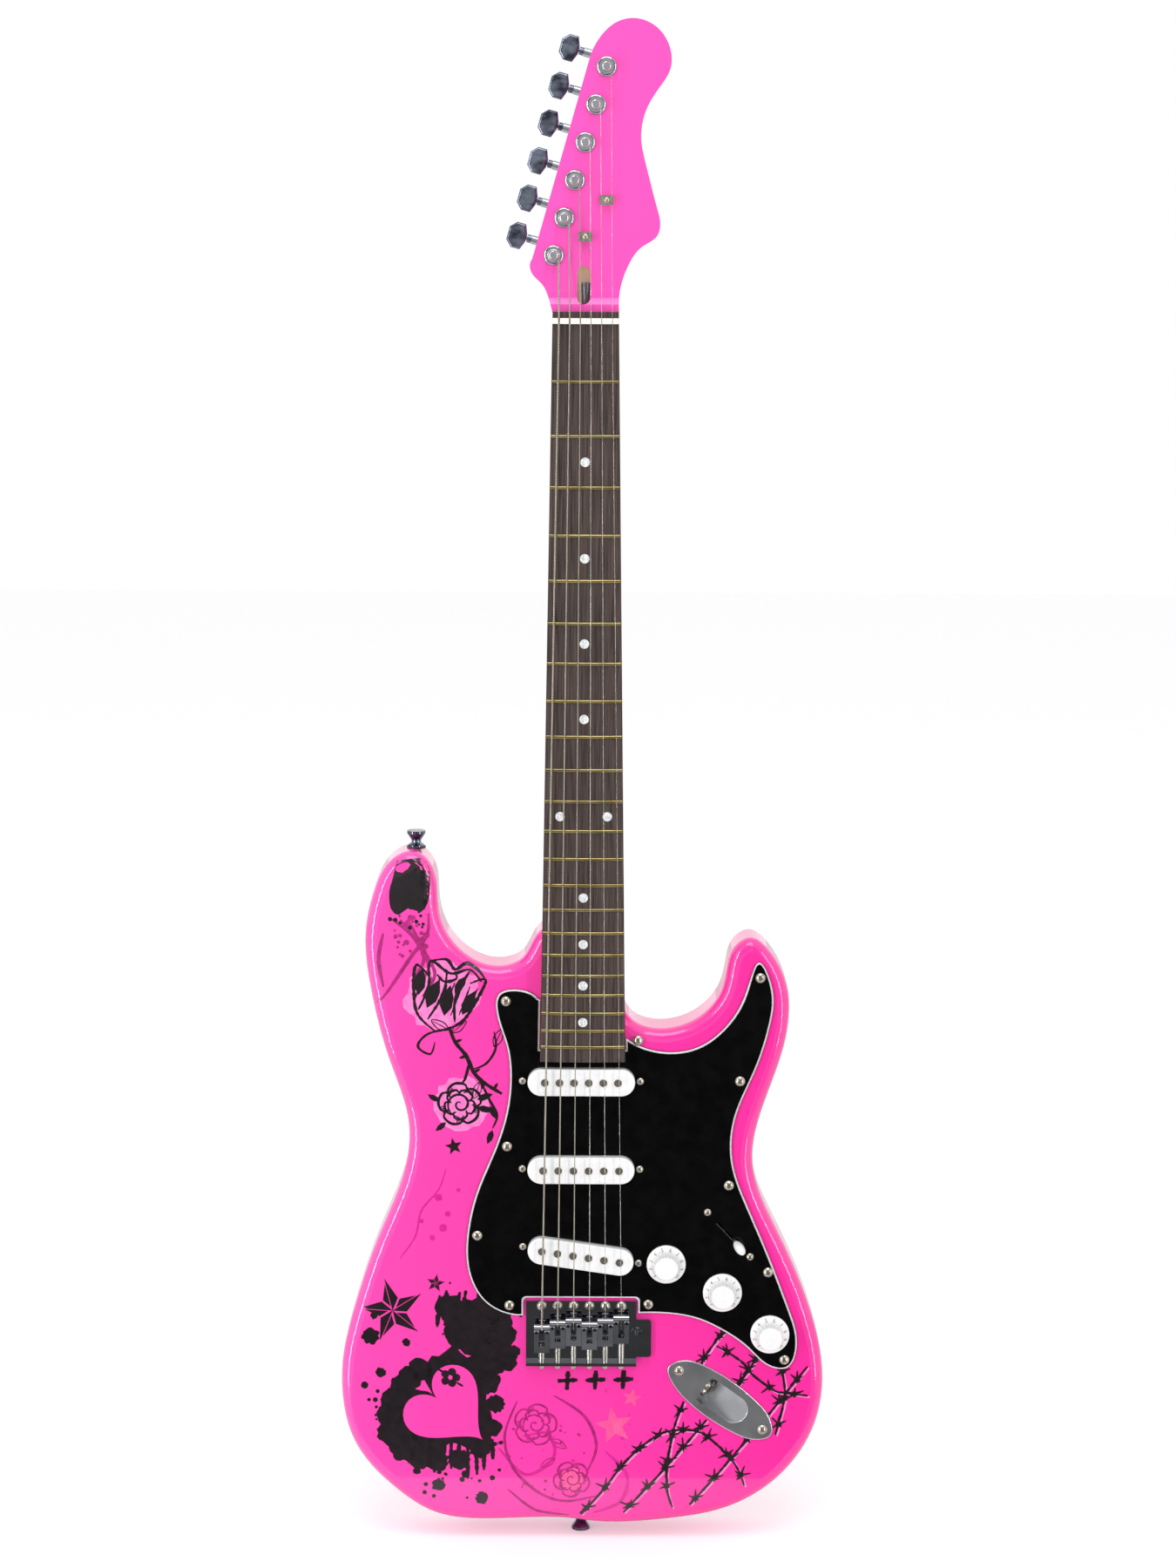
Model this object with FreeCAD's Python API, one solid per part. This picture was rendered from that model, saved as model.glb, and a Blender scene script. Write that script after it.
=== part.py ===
import FreeCAD, Part
import math
import os

# Solid-body electric guitar with a pivoting tremolo bridge. Millimetres.
# X points to the treble side, Y to the back, Z up the neck.
# Y = 0 is the middle of the body's thickness and X = 0 the centre line.
# Heights below count from the body's lowest point. Saving lifts everything by the end
# button's height, so the origin lands on the button's outer face.

os.makedirs("parts", exist_ok=True)
V = FreeCAD.Vector

# Overall sizes
scale_length = 648.0
body_thickness = 43.0
body_edge_radius = 8.0
treble_saddle_z = 144.0
string_count = 6
fret_count = 22

# Neck and fretboard
nut_width = 42.0
board_end_width = 55.4
board_thickness = 6.0
board_radius = 241.0
board_above_body = 9.0
board_past_last_fret = 10.0
board_behind_nut = 3.8
board_overhang = 7.5
heel_thickness = 19.0
neck_depth_nut = 15.0
neck_depth_heel = 16.8
pocket_gap = 0.15
heel_top_z = 388.0
shaft_start_z = 416.0
fret_height = 1.1
fret_width = 2.4
dot_diameter = 6.0
dot_depth = 1.5
side_dot_diameter = 2.0
nut_thickness = 3.6
nut_height = 3.0

# Headstock
head_drop = 9.5
head_thickness = 14.0
head_lean = 15.7
tuner_pitch = 24.28
first_post_x = -20.4
first_post_rise = 42.6
post_radius = 3.0
waist_radius = 2.7
post_height = 10.0
bushing_radius = 6.5
bushing_height = 2.4
bushing_wall = 1.9
bushing_round = 1.7
post_round = 1.1

# Worm drive of a tuner
gear_teeth = 14
gear_pitch_radius = 3.7
worm_pitch_radius = 1.7
gear_width = 2.0
tooth_depth = 1.0
worm_turns = 5
worm_shaft_radius = 1.5
housing_wall = 1.2
button_reach = 25.8
button_width = 16.5
button_length = 12.0
button_thickness = 7.0

# Strings, low to high
string_diameters = (1.17, 0.91, 0.66, 0.43, 0.33, 0.25)
wound_count = 3
nut_spread = 33.6
bridge_spread = 52.2
action_nut = 1.6
action_saddle = 3.7

# Pickguard and what it carries
ply_thickness = 0.8
bevel_step = 1.2
pool_depth = 19.0
cover_length = 70.0
cover_width = 18.0
cover_wall = 1.2
cover_above_guard = 5.0
pole_radius = 2.4
pole_above_cover = 0.7
pole_spreads = (47.6, 49.6, 51.4)
bridge_pickup_slant = 8.2
height_screw_reach = 38.4
knob_radius = 12.8
knob_height = 12.5
shaft_radius = 3.0
bushing_thread_radius = 4.7
pot_radius = 12.0
switch_lean = 46.8
switch_screw_reach = 20.6
lever_throw = 44.0
lever_pivot_depth = 18.0

# Tremolo bridge
bridge_plate_thickness = 2.5
plate_front_reach = 3.1
plate_tail_reach = 39.7
plate_half_width = 36.6
block_length = 38.0
block_width = 12.0
arm_socket_radius = 3.45
arm_bore_radius = 2.4
saddle_width = 10.2
saddle_sheet = 1.2
intonation = (6.1, 2.9, 1.2, 3.7, 1.4, -0.5)
saddle_length = 18.2
spring_cavity_depth = 17.0
spring_radius = 4.2
spring_positions = (-20.8, 0.0, 20.8)

# Fittings
running_gap = 0.05
pilot_gap = 0.06
button_height = 11.5
button_flange_radius = 6.0
button_flange_wall = 1.8
felt_thickness = 1.2
felt_radius = 6.2
wood_screw_radius = 2.0
plate_screw_radius = 1.5
plate_screw_head = 3.3
neck_plate_width = 40.0
neck_plate_height = 58.0
neck_plate_thickness = 1.6
neck_plate_x = -2.0
neck_plate_z = 357.5
cover_thickness = 1.8
jack_lean = 36.0
jack_bore_radius = 3.2
jack_sheet = 1.4

# Places worked out from the sizes above
nut_z = treble_saddle_z + scale_length


def fret_z(number):
    return nut_z - scale_length * (1.0 - 2.0 ** (-number / 12.0))


face_y = -body_thickness / 2.0
back_y = body_thickness / 2.0
board_top_y = face_y - board_above_body
board_under_y = board_top_y + board_thickness
board_end_z = fret_z(fret_count) - board_past_last_fret
board_start_z = nut_z + board_behind_nut + nut_thickness
pocket_end_z = board_end_z + board_overhang
pocket_floor_y = board_under_y + heel_thickness
head_face_y = board_top_y + head_drop
head_back_y = head_face_y + head_thickness
guard_top_y = face_y - 3.0 * ply_thickness
pivot_z = treble_saddle_z + 6.3
plate_top_y = face_y - bridge_plate_thickness
neck_pickup_z = board_end_z - 14.1
bridge_pickup_z = pivot_z + 34.4
pickup_heights = (neck_pickup_z, (neck_pickup_z + bridge_pickup_z) / 2.0 - 0.4, bridge_pickup_z)
pickup_slants = (0.0, 0.0, bridge_pickup_slant)
pickup_x = -0.8
block_front_z = pivot_z - 12.3
string_hole_z = block_front_z - block_width / 2.0
knob_places = ((55.4, 179.1), (92.5, 160.0), (124.0, 131.7))
switch_x = 96.4
switch_z = 198.9
jack_x = 92.2
jack_z = 85.5
horn_button_x = -109.0
horn_button_z = 451.7
spring_top_z = pivot_z + 100.0
worm_offset = gear_pitch_radius + worm_pitch_radius
gear_y = head_back_y + 5.0


def along_x(value):
    return [(index - (string_count - 1) / 2.0) * value / (string_count - 1) for index in range(string_count)]


nut_xs = along_x(nut_spread)
saddle_xs = along_x(bridge_spread)


def board_half_width(z):
    share = (nut_z - z) / (nut_z - board_end_z)
    return (nut_width + (board_end_width - nut_width) * share) / 2.0


def crown(x):
    return board_radius - math.sqrt(board_radius ** 2 - x ** 2)


def post_place(index):
    lean = math.radians(head_lean)
    reach = index * tuner_pitch
    return first_post_x + reach * math.sin(lean), nut_z + first_post_rise + reach * math.cos(lean)


# Shape helpers
def box(x0, x1, y0, y1, z0, z1):
    return Part.makeBox(x1 - x0, y1 - y0, z1 - z0, V(x0, y0, z0))


def rod(start, end, radius):
    path = end.sub(start)
    return Part.makeCylinder(radius, path.Length, start, path)


def pin(x, z, y0, y1, radius):
    return rod(V(x, y0, z), V(x, y1, z), radius)


def curved_edge(points, inset=0.0):
    """A smooth edge through the points, moved to its left by the inset."""
    spline = Part.BSplineCurve()
    spline.interpolate(Points=[V(x, 0, z) for x, z in points])
    if inset == 0.0:
        return spline.toShape()
    moved = []
    for x, z in points:
        point = V(x, 0, z)
        along = spline.tangent(spline.parameter(point))[0]
        moved.append((x - inset * along.z, z + inset * along.x))
    return curved_edge(moved)


def loop_wire(points):
    spline = Part.BSplineCurve()
    spline.interpolate(Points=[V(x, 0, z) for x, z in points], PeriodicFlag=True)
    return Part.Wire([spline.toShape()])


def straight_wire(points):
    corners = [V(x, 0, z) for x, z in points]
    return Part.makePolygon(corners + corners[:1])


def plate(wire, y0, y1):
    face = Part.Face(wire)
    face.translate(V(0, y0, 0))
    return face.extrude(V(0, y1 - y0, 0))


def stadium(length, width, y0, y1):
    """A round-ended bar along X, centred on the origin."""
    half = (length - width) / 2.0
    middle = box(-half, half, y0, y1, -width / 2.0, width / 2.0)
    ends = [pin(side * half, 0, y0, y1, width / 2.0) for side in (-1, 1)]
    return middle.multiFuse(ends).removeSplitter()


def set_at(shape, x, z, lean=0.0, y=0.0):
    """Turn about +Y, which dips the shape's +X end for a positive lean, then move."""
    placed = shape.copy()
    placed.rotate(V(0, 0, 0), V(0, 1, 0), lean)
    placed.translate(V(x, y, z))
    return placed


def turned(profile):
    """Revolve a closed (radius, height) outline about the Y axis, with heights along Y."""
    corners = [V(radius, height, 0) for radius, height in profile]
    face = Part.Face(Part.makePolygon(corners + corners[:1]))
    return face.revolve(V(0, 0, 0), V(0, 1, 0), 360)


def cut_all(shape, tools):
    return shape.cut(Part.makeCompound(tools))


def dome_screw(head_radius, head_height, shank_radius, shank_length, slot=False):
    """A screw along +Y with its seat at y = 0; the recess is a cross or one slot."""
    ball_radius = (head_radius ** 2 + head_height ** 2) / (2.0 * head_height)
    ball = Part.makeSphere(ball_radius, V(0, ball_radius - head_height, 0))
    head = ball.common(box(-head_radius, head_radius, -head_height, 0, -head_radius, head_radius))
    recess_depth = head_height * 0.7
    recess_half = head_radius * 0.5
    recess = box(-recess_half, recess_half, -head_height, recess_depth - head_height, -0.35, 0.35)
    if slot:
        recess = box(-head_radius, head_radius, -head_height, recess_depth - head_height, -0.35, 0.35)
    head = head.cut(recess)
    if not slot:
        head = head.cut(set_at(recess, 0, 0, 90.0))
    tip = shank_radius * 1.6
    shank = pin(0, 0, 0, shank_length - tip, shank_radius)
    point = Part.makeCone(shank_radius, 0.2, tip, V(0, shank_length - tip, 0), V(0, 1, 0))
    return head.multiFuse([shank, point])


def flipped(shape):
    """Turn a piece that points to the back so that it points to the front."""
    turned_over = shape.copy()
    turned_over.rotate(V(0, 0, 0), V(0, 0, 1), 180)
    return turned_over


def routed_rod(points, radius, bend_radii):
    """A round rod along straight runs joined by tangent arcs."""
    edges = []
    start = points[0]
    for index in range(1, len(points) - 1):
        corner = points[index]
        inward = corner.sub(start).normalize()
        outward = points[index + 1].sub(corner).normalize()
        turn = inward.getAngle(outward)
        setback = bend_radii[index - 1] * math.tan(turn / 2.0)
        arc_start = corner.sub(V(inward).multiply(setback))
        arc_end = corner.add(V(outward).multiply(setback))
        toward = V(outward).sub(inward).normalize()
        middle_reach = bend_radii[index - 1] * (1.0 / math.cos(turn / 2.0) - 1.0)
        arc_middle = corner.add(V(toward).multiply(middle_reach))
        edges.append(Part.LineSegment(start, arc_start).toShape())
        edges.append(Part.Arc(arc_start, arc_middle, arc_end).toShape())
        start = arc_end
    edges.append(Part.LineSegment(start, points[-1]).toShape())
    direction = points[1].sub(points[0])
    ring = Part.Wire([Part.Circle(points[0], direction, radius).toShape()])
    return Part.Wire(edges).makePipeShell([ring], True, False)


def save(name, pieces):
    solids = []
    for piece in pieces:
        solids.extend(piece.Solids)
    group = Part.makeCompound(solids)
    group.translate(V(0, 0, button_height))
    group.exportStep("parts/" + name + ".step")
    print(name, len(solids), round(group.Volume, 1), group.isValid())


# Outlines
body_outline = (
    (0.0, -0.0), (-60.0, 0.3), (-99.0, 5.5), (-124.0, 22.0), (-141.0, 39.0), (-151.5, 56.0),
    (-158.0, 81.0), (-158.0, 112.0), (-150.4, 145.5), (-133.4, 196.0), (-115.3, 246.0),
    (-114.0, 271.0), (-126.0, 312.0), (-138.4, 361.0), (-141.6, 398.0), (-136.0, 426.0),
    (-124.5, 446.5), (-109.0, 452.0), (-97.6, 441.4), (-94.2, 417.0), (-89.7, 400.7),
    (-76.0, 384.0), (-54.2, 376.4), (-39.0, 382.5), (-31.0, 396.5), (-19.0, 405.5), (0.0, 407.0),
    (15.0, 401.5), (23.4, 388.0), (24.4, 368.0), (26.4, 350.5), (33.5, 340.2), (45.0, 335.6),
    (63.2, 337.0),
    (80.0, 346.5), (90.0, 360.6), (93.8, 377.0), (97.5, 388.5), (108.5, 395.8), (122.0, 386.5),
    (133.5, 362.0), (132.7, 329.0), (117.3, 280.0), (111.9, 247.0), (129.8, 197.0),
    (150.7, 147.0), (160.0, 96.0), (154.7, 66.0), (140.5, 40.5), (122.7, 23.0), (97.0, 9.0),
    (60.0, 1.2),
)

guard_low_z = pivot_z - 7.1
guard_left = (
    (-29.4, 356.5), (-43.8, 362.6), (-54.8, 359.1), (-56.1, 347.1), (-49.6, 325.1), (-47.3, 302.5),
    (-50.2, 278.4), (-58.0, 254.1), (-68.5, 228.4), (-75.3, 198.6), (-74.1, 171.4),
    (-63.3, guard_low_z + 8.9), (-47.5, guard_low_z + 0.7), (-37.9, guard_low_z),
)
guard_right = (
    (36.9, guard_low_z + 1.8), (59.5, 144.6), (77.1, 141.0), (93.6, 133.1), (110.2, 121.0),
    (124.4, 108.9), (135.0, 107.8), (142.2, 124.2), (137.4, 146.1), (120.5, 190.0), (107.3, 220.8),
    (98.6, 247.0), (100.1, 277.9), (113.0, 310.1), (122.6, 343.0), (122.3, 367.0), (114.3, 381.0),
    (107.4, 366.0), (96.8, 343.1), (76.2, 325.2), (53.0, 321.4), (29.0, 330.0),
)
guard_screws = (
    (-50.0, 354.7), (-49.2, 257.7), (-68.7, 197.4), (-47.5, pivot_z - 0.2), (43.8, pivot_z + 0.8),
    (133.9, 113.7), (122.4, 173.3), (96.1, 232.0), (102.7, 302.1), (115.2, 370.8), (36.0, 329.0),
)

# Headstock outline from the nut's front edge: the point by the tuner edge's foot comes first
head_corner = (
    (-21.1, 7.0), (-23.4, 15.5), (-27.6, 24.3), (-33.9, 30.9), (-35.3, 34.6), (-33.9, 40.3),
)
head_round = (
    (2.4, 166.8), (8.9, 178.4), (20.6, 187.7), (32.0, 189.0), (44.0, 183.5), (51.2, 173.3),
    (52.5, 158.8), (43.4, 143.7), (36.5, 130.5), (34.4, 113.5), (37.7, 98.2), (44.5, 72.4),
    (46.6, 60.7), (44.5, 54.5), (35.7, 48.3), (27.0, 37.0), (22.2, 24.0), (21.1, 7.0),
)


def pickup_cut(y0, y1, grow):
    cuts = []
    for z, slant in zip(pickup_heights, pickup_slants):
        cuts.append(set_at(stadium(cover_length + grow, cover_width + grow, y0, y1), pickup_x, z, slant))
    return cuts


def neck_pocket(y0, y1, gap):
    """The tapered neck's footprint, from its heel to past the body's top."""
    top_z = 430.0
    low = board_half_width(pocket_end_z) + gap
    high = board_half_width(top_z) + gap
    corners = (
        (-low, pocket_end_z - gap), (low, pocket_end_z - gap), (high, top_z), (-high, top_z),
    )
    return plate(straight_wire(corners), y0, y1)


def bridge_slot(y0, y1, gap):
    """The opening that the block swings in, narrower beside the arm socket."""
    low_z = block_front_z - block_width - 9.0 - gap
    main = box(-36.0, 35.2, y0, y1, low_z, pivot_z - 3.8)
    side = box(35.2, 42.5, y0, y1, low_z, block_front_z + 1.5)
    return main.fuse(side)


def jack_frame(shape):
    """Local +X runs from the jack towards the plate's far end, +Y into the body."""
    return set_at(shape, jack_x, jack_z, jack_lean, face_y)


# The jack's wall faces along the recess's sloping floor
recess_depth = 12.0
recess_start = -14.0
recess_foot = -9.0
recess_end = 20.0
recess_slope = math.atan2(recess_depth, recess_end - recess_foot)
jack_centre = V((recess_start + recess_foot) / 2.0, recess_depth / 2.0, 0)
jack_inward = V(-math.cos(recess_slope), math.sin(recess_slope), 0)


def jack_rod(start, end, radius):
    first = jack_centre.add(V(jack_inward).multiply(start))
    last = jack_centre.add(V(jack_inward).multiply(end))
    return rod(first, last, radius)


def make_body():
    solid = plate(loop_wire(body_outline), face_y, back_y)
    flat_edges = [edge for edge in solid.Edges if edge.BoundBox.YLength < 1.0]
    solid = solid.makeFillet(body_edge_radius, flat_edges)
    pool_low = bridge_pickup_z - 18.5
    cuts = [neck_pocket(face_y - 5, pocket_floor_y, pocket_gap)]
    cuts.append(box(-46.0, 44.0, face_y - 5, face_y + pool_depth, pool_low, board_end_z - 1.0))
    corners = list(knob_places) + [(110.0, 184.5), (82.9, 213.3)]
    control_back = face_y + 33.0
    for (x0, z0), (x1, z1) in zip(corners, corners[1:] + corners[:1]):
        span = math.hypot(x1 - x0, z1 - z0)
        width = 24.0
        if (x0, z0) in knob_places and (x1, z1) in knob_places:
            width = 2.0 * (pot_radius + 2.5)
        lean = -math.degrees(math.atan2(z1 - z0, x1 - x0))
        bar = stadium(span + width, width, face_y - 5, control_back)
        cuts.append(set_at(bar, (x0 + x1) / 2.0, (z0 + z1) / 2.0, lean))
    cuts.append(plate(straight_wire(corners), face_y - 5, control_back))
    cuts.append(box(30.0, 52.0, face_y - 5, face_y + pool_depth, 170.0, 192.0))
    cuts.append(bridge_slot(face_y - 5, back_y + 5, 0.0))
    cavity_front = back_y - spring_cavity_depth
    cuts.append(box(-30.0, 30.0, cavity_front, back_y + 5, pivot_z - 10.0, spring_top_z))
    jack_well = stadium(46.0, 22.0, -5, 15.5)
    jack_well.translate(V(-1.0, 0, 0))
    cuts.append(jack_frame(jack_well))
    cuts.append(jack_frame(jack_rod(0.0, 19.5, 9.5)))
    # Screw pilots
    for x, z in guard_screws:
        cuts.append(pin(x, z, face_y - 1, face_y + 11.0, plate_screw_radius + pilot_gap))
    for side in (-1, 1):
        cuts.append(jack_frame(pin(side * jack_screw_reach, 0, -1, 9.0, plate_screw_radius + pilot_gap)))
    for x in saddle_xs:
        cuts.append(pin(x, pivot_z, face_y - 1, face_y + 20.0, wood_screw_radius + pilot_gap))
    for x, z in cover_screw_places():
        cuts.append(pin(x, z, back_y + 1, back_y - 11.0, plate_screw_radius + pilot_gap))
    for x, z in neck_screw_places():
        cuts.append(pin(x, z, back_y + 1, pocket_floor_y - 1, wood_screw_radius + 0.4))
    pilot = wood_screw_radius + pilot_gap
    for x in claw_screw_xs:
        cuts.append(rod(V(x, claw_y, spring_top_z - 1), V(x, claw_y, spring_top_z + 25.0), pilot))
    # A flat seat for each strap button's felt, with its pilot
    for x, z, sign in strap_places():
        cuts.append(rod(V(x, 0, z), V(x, 0, z - sign * 24.0), pilot))
        cuts.append(rod(V(x, 0, z), V(x, 0, z + sign * 8.0), felt_radius + 0.2))
    return cut_all(solid, cuts)


jack_screw_reach = 34.3
claw_y = back_y - 8.0
claw_screw_xs = (-10.0, 10.0)


def strap_places():
    return ((0.0, 0.0, -1), (horn_button_x, horn_button_z, 1))


def neck_screw_places():
    across = neck_plate_width / 2.0 - 4.5
    tall = neck_plate_height / 2.0 - 6.0
    return [(neck_plate_x + x, neck_plate_z + z) for x in (-across, across) for z in (-tall, tall)]


def cover_screw_places():
    low = block_front_z - block_width - 13.5
    high = spring_top_z + 5.0
    heights = (low, (low + high) / 2.0, high)
    return [(x, z) for x in (-42.0, 42.0) for z in heights]


def round_back_section(z, half_width, depth, power):
    """A D-shaped section: flat under the board, a rounded back."""
    points = []
    steps = 12
    for index in range(steps + 1):
        angle = math.pi * index / steps
        across = math.copysign(abs(math.cos(angle)) ** (2.0 / power), math.cos(angle))
        down = math.sin(angle) ** (2.0 / power) if 0 < index < steps else 0.0
        points.append(V(-half_width * across, board_under_y + depth * down, z))
    spline = Part.BSplineCurve()
    spline.interpolate(Points=points)
    top = Part.LineSegment(points[-1], points[0])
    return Part.Wire([spline.toShape(), top.toShape()])


def make_neck():
    mid_z = (nut_z + shaft_start_z) / 2.0
    sections = (
        (nut_z + 2.0, neck_depth_nut, 2.3),
        (mid_z, (neck_depth_nut + neck_depth_heel) / 2.0, 2.3),
        (shaft_start_z, neck_depth_heel, 2.4),
    )
    wires = [round_back_section(z, board_half_width(z), depth, power) for z, depth, power in sections]
    shaft = Part.makeLoft(wires, True, False)
    blend_wires = [
        round_back_section(shaft_start_z, board_half_width(shaft_start_z), neck_depth_heel, 2.4),
        round_back_section(heel_top_z, board_half_width(heel_top_z), heel_thickness - 0.2, 9.0),
    ]
    blend = Part.makeLoft(blend_wires, True, True)
    low = board_half_width(pocket_end_z)
    high = board_half_width(heel_top_z)
    corners = ((-low, pocket_end_z), (low, pocket_end_z), (high, heel_top_z), (-high, heel_top_z))
    heel = plate(straight_wire(corners), board_under_y, pocket_floor_y)
    outline = [(x, nut_z + rise) for x, rise in head_corner]
    around = [(x, nut_z + rise) for x, rise in head_round]
    edges = [
        curved_edge(outline),
        Part.LineSegment(V(outline[-1][0], 0, outline[-1][1]), V(around[0][0], 0, around[0][1])).toShape(),
        curved_edge(around),
        Part.LineSegment(V(around[-1][0], 0, around[-1][1]), V(outline[0][0], 0, outline[0][1])).toShape(),
    ]
    head = plate(Part.Wire(edges), board_under_y, head_back_y)
    # The face steps down from the board in a hollow curve
    scoop_radius = 16.0
    scoop_z = nut_z + 22.0
    above_face = box(-80, 80, board_under_y - 5, head_face_y, scoop_z, scoop_z + 400)
    scoop_y = head_face_y - scoop_radius
    hollow = rod(V(-80, scoop_y, scoop_z), V(80, scoop_y, scoop_z), scoop_radius)
    head = head.cut(above_face).cut(hollow)
    throat_wires = [
        round_back_section(nut_z + 2.0, board_half_width(nut_z + 2.0), neck_depth_nut, 2.3),
        round_back_section(nut_z + 14.0, 20.9, head_back_y - board_under_y, 7.0),
    ]
    throat = Part.makeLoft(throat_wires, True, True)
    solid = shaft.multiFuse([throat.cut(hollow), blend, heel, head]).removeSplitter()
    cuts = []
    for index in range(string_count):
        x, z = post_place(index)
        cuts.append(pin(x, z, head_face_y - 5, head_back_y + 5, bushing_sleeve_radius))
        sx, sz = housing_screw_place(index)
        cuts.append(pin(sx, sz, head_back_y - 7.0, head_back_y + 1, 1.0 + pilot_gap))
    for x, z in tree_places():
        cuts.append(pin(x, z, head_face_y - 1, head_face_y + 9.0, 1.0 + pilot_gap))
    cuts.append(rod(V(0, rod_y, rod_low_z), V(0, rod_y, scoop_end_z), rod_radius + 0.4))
    mouth = set_at(stadium(24.0, 8.2, head_face_y - 10, head_face_y + 7.2), -1.4, scoop_mouth_z, 90.0)
    cuts.append(mouth)
    for x, z in neck_screw_places():
        cuts.append(pin(x, z, pocket_floor_y + 1, pocket_floor_y - 14.5, wood_screw_radius + pilot_gap))
    return cut_all(solid, cuts)


bushing_sleeve_radius = post_radius + running_gap + bushing_wall
rod_radius = 2.5
rod_y = board_under_y + 7.0
rod_low_z = pocket_end_z + 20.0
scoop_mouth_z = nut_z + 24.0
scoop_end_z = scoop_mouth_z + 2.0


def tree_places():
    """Each string tree's X and Z, centred over its two strings."""
    return ((string_x_at(2, 54.2) + string_x_at(3, 54.2)) / 2.0, nut_z + 54.2), (
        (string_x_at(4, 77.0) + string_x_at(5, 77.0)) / 2.0,
        nut_z + 77.0,
    )


def wrap_reach(index):
    return waist_radius + running_gap + string_diameters[index] / 2.0


def string_x_at(index, rise):
    """Where a string runs above the headstock, between its slot and its post."""
    post_x, post_z = post_place(index)
    share = rise / (post_z - nut_z)
    return nut_xs[index] + (post_x + wrap_reach(index) - nut_xs[index]) * share


def make_board_blank():
    low = board_half_width(board_end_z)
    high = board_half_width(board_start_z)
    corners = ((-low, board_end_z), (low, board_end_z), (high, board_start_z), (-high, board_start_z))
    blank = plate(straight_wire(corners), board_top_y - 1, board_under_y)
    axis_y = board_top_y + board_radius
    return blank.common(Part.makeCylinder(board_radius, 900, V(0, axis_y, 0), V(0, 0, 1)))


def dot_places():
    places = []
    for number in (3, 5, 7, 9, 12, 15, 17, 19, 21):
        z = (fret_z(number) + fret_z(number - 1)) / 2.0
        offsets = (-15.2, 15.2) if number == 12 else (0.0,)
        places.extend([(x, z) for x in offsets])
    return places


def make_fretboard():
    blank = make_board_blank()
    dots = []
    for x, z in dot_places():
        reach = board_top_y + crown(x) + dot_depth
        dots.append(pin(x, z, board_top_y - 3, reach, dot_diameter / 2.0).common(blank))
    for number in (3, 5, 7, 9, 12, 15, 17, 19, 21):
        z = (fret_z(number) + fret_z(number - 1)) / 2.0
        for shift in ((-3.0, 3.0) if number == 12 else (0.0,)):
            edge_x = -board_half_width(z + shift)
            dot_y = board_top_y + 2.6
            hole = rod(V(edge_x - 2, dot_y, z + shift), V(edge_x + 1.5, dot_y, z + shift),
                       side_dot_diameter / 2.0)
            dots.append(hole.common(blank))
    nut_seat = box(-40, 40, board_top_y - 2, board_under_y - 2.0, nut_z, nut_z + nut_thickness)
    board = cut_all(blank, dots).cut(nut_seat)
    return board, dots


def make_frets():
    frets = []
    axis = V(0, board_top_y + board_radius, 0)
    for number in range(1, fret_count + 1):
        z = fret_z(number)
        half = board_half_width(z) - 0.5
        spread = math.degrees(math.asin(half / board_radius))
        low = V(0, board_top_y, z - fret_width / 2.0)
        top = V(0, board_top_y - fret_height, z)
        high = V(0, board_top_y, z + fret_width / 2.0)
        edges = [Part.Arc(low, top, high).toShape(), Part.LineSegment(high, low).toShape()]
        profile = Part.Face(Part.Wire(edges))
        profile.rotate(axis, V(0, 0, 1), -spread)
        frets.append(profile.revolve(axis, V(0, 0, 1), 2.0 * spread))
    return frets


def string_seat_y(x, action):
    return board_top_y - action + crown(x)


def make_nut():
    half = board_half_width(nut_z) - 0.1
    blank = box(-half, half, board_top_y - nut_height, board_under_y - 2.0, nut_z, nut_z + nut_thickness)
    axis_y = board_top_y - nut_height + 0.5 + board_radius
    blank = blank.common(Part.makeCylinder(board_radius, 900, V(0, axis_y, 0), V(0, 0, 1)))
    slots = []
    for index, x in enumerate(nut_xs):
        radius = string_diameters[index] / 2.0 + running_gap
        y = string_seat_y(x, action_nut)
        slots.append(rod(V(x, y, nut_z - 1), V(x, y, nut_z + nut_thickness + 1), radius))
        slots.append(box(x - radius, x + radius, y - 5, y, nut_z - 1, nut_z + nut_thickness + 1))
        rise = V(0, 0.16, 1)
        slots.append(Part.makeCylinder(radius, 6, V(x, y, nut_z + 1.2), rise))
    return cut_all(blank, slots)


def guard_wire(inset):
    left = curved_edge(guard_left, inset)
    right = curved_edge(guard_right, inset)
    foot = Part.LineSegment(left.Vertexes[-1].Point, right.Vertexes[0].Point).toShape()
    neck_side = Part.LineSegment(right.Vertexes[-1].Point, left.Vertexes[0].Point).toShape()
    return Part.Wire([left, foot, right, neck_side])


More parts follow.
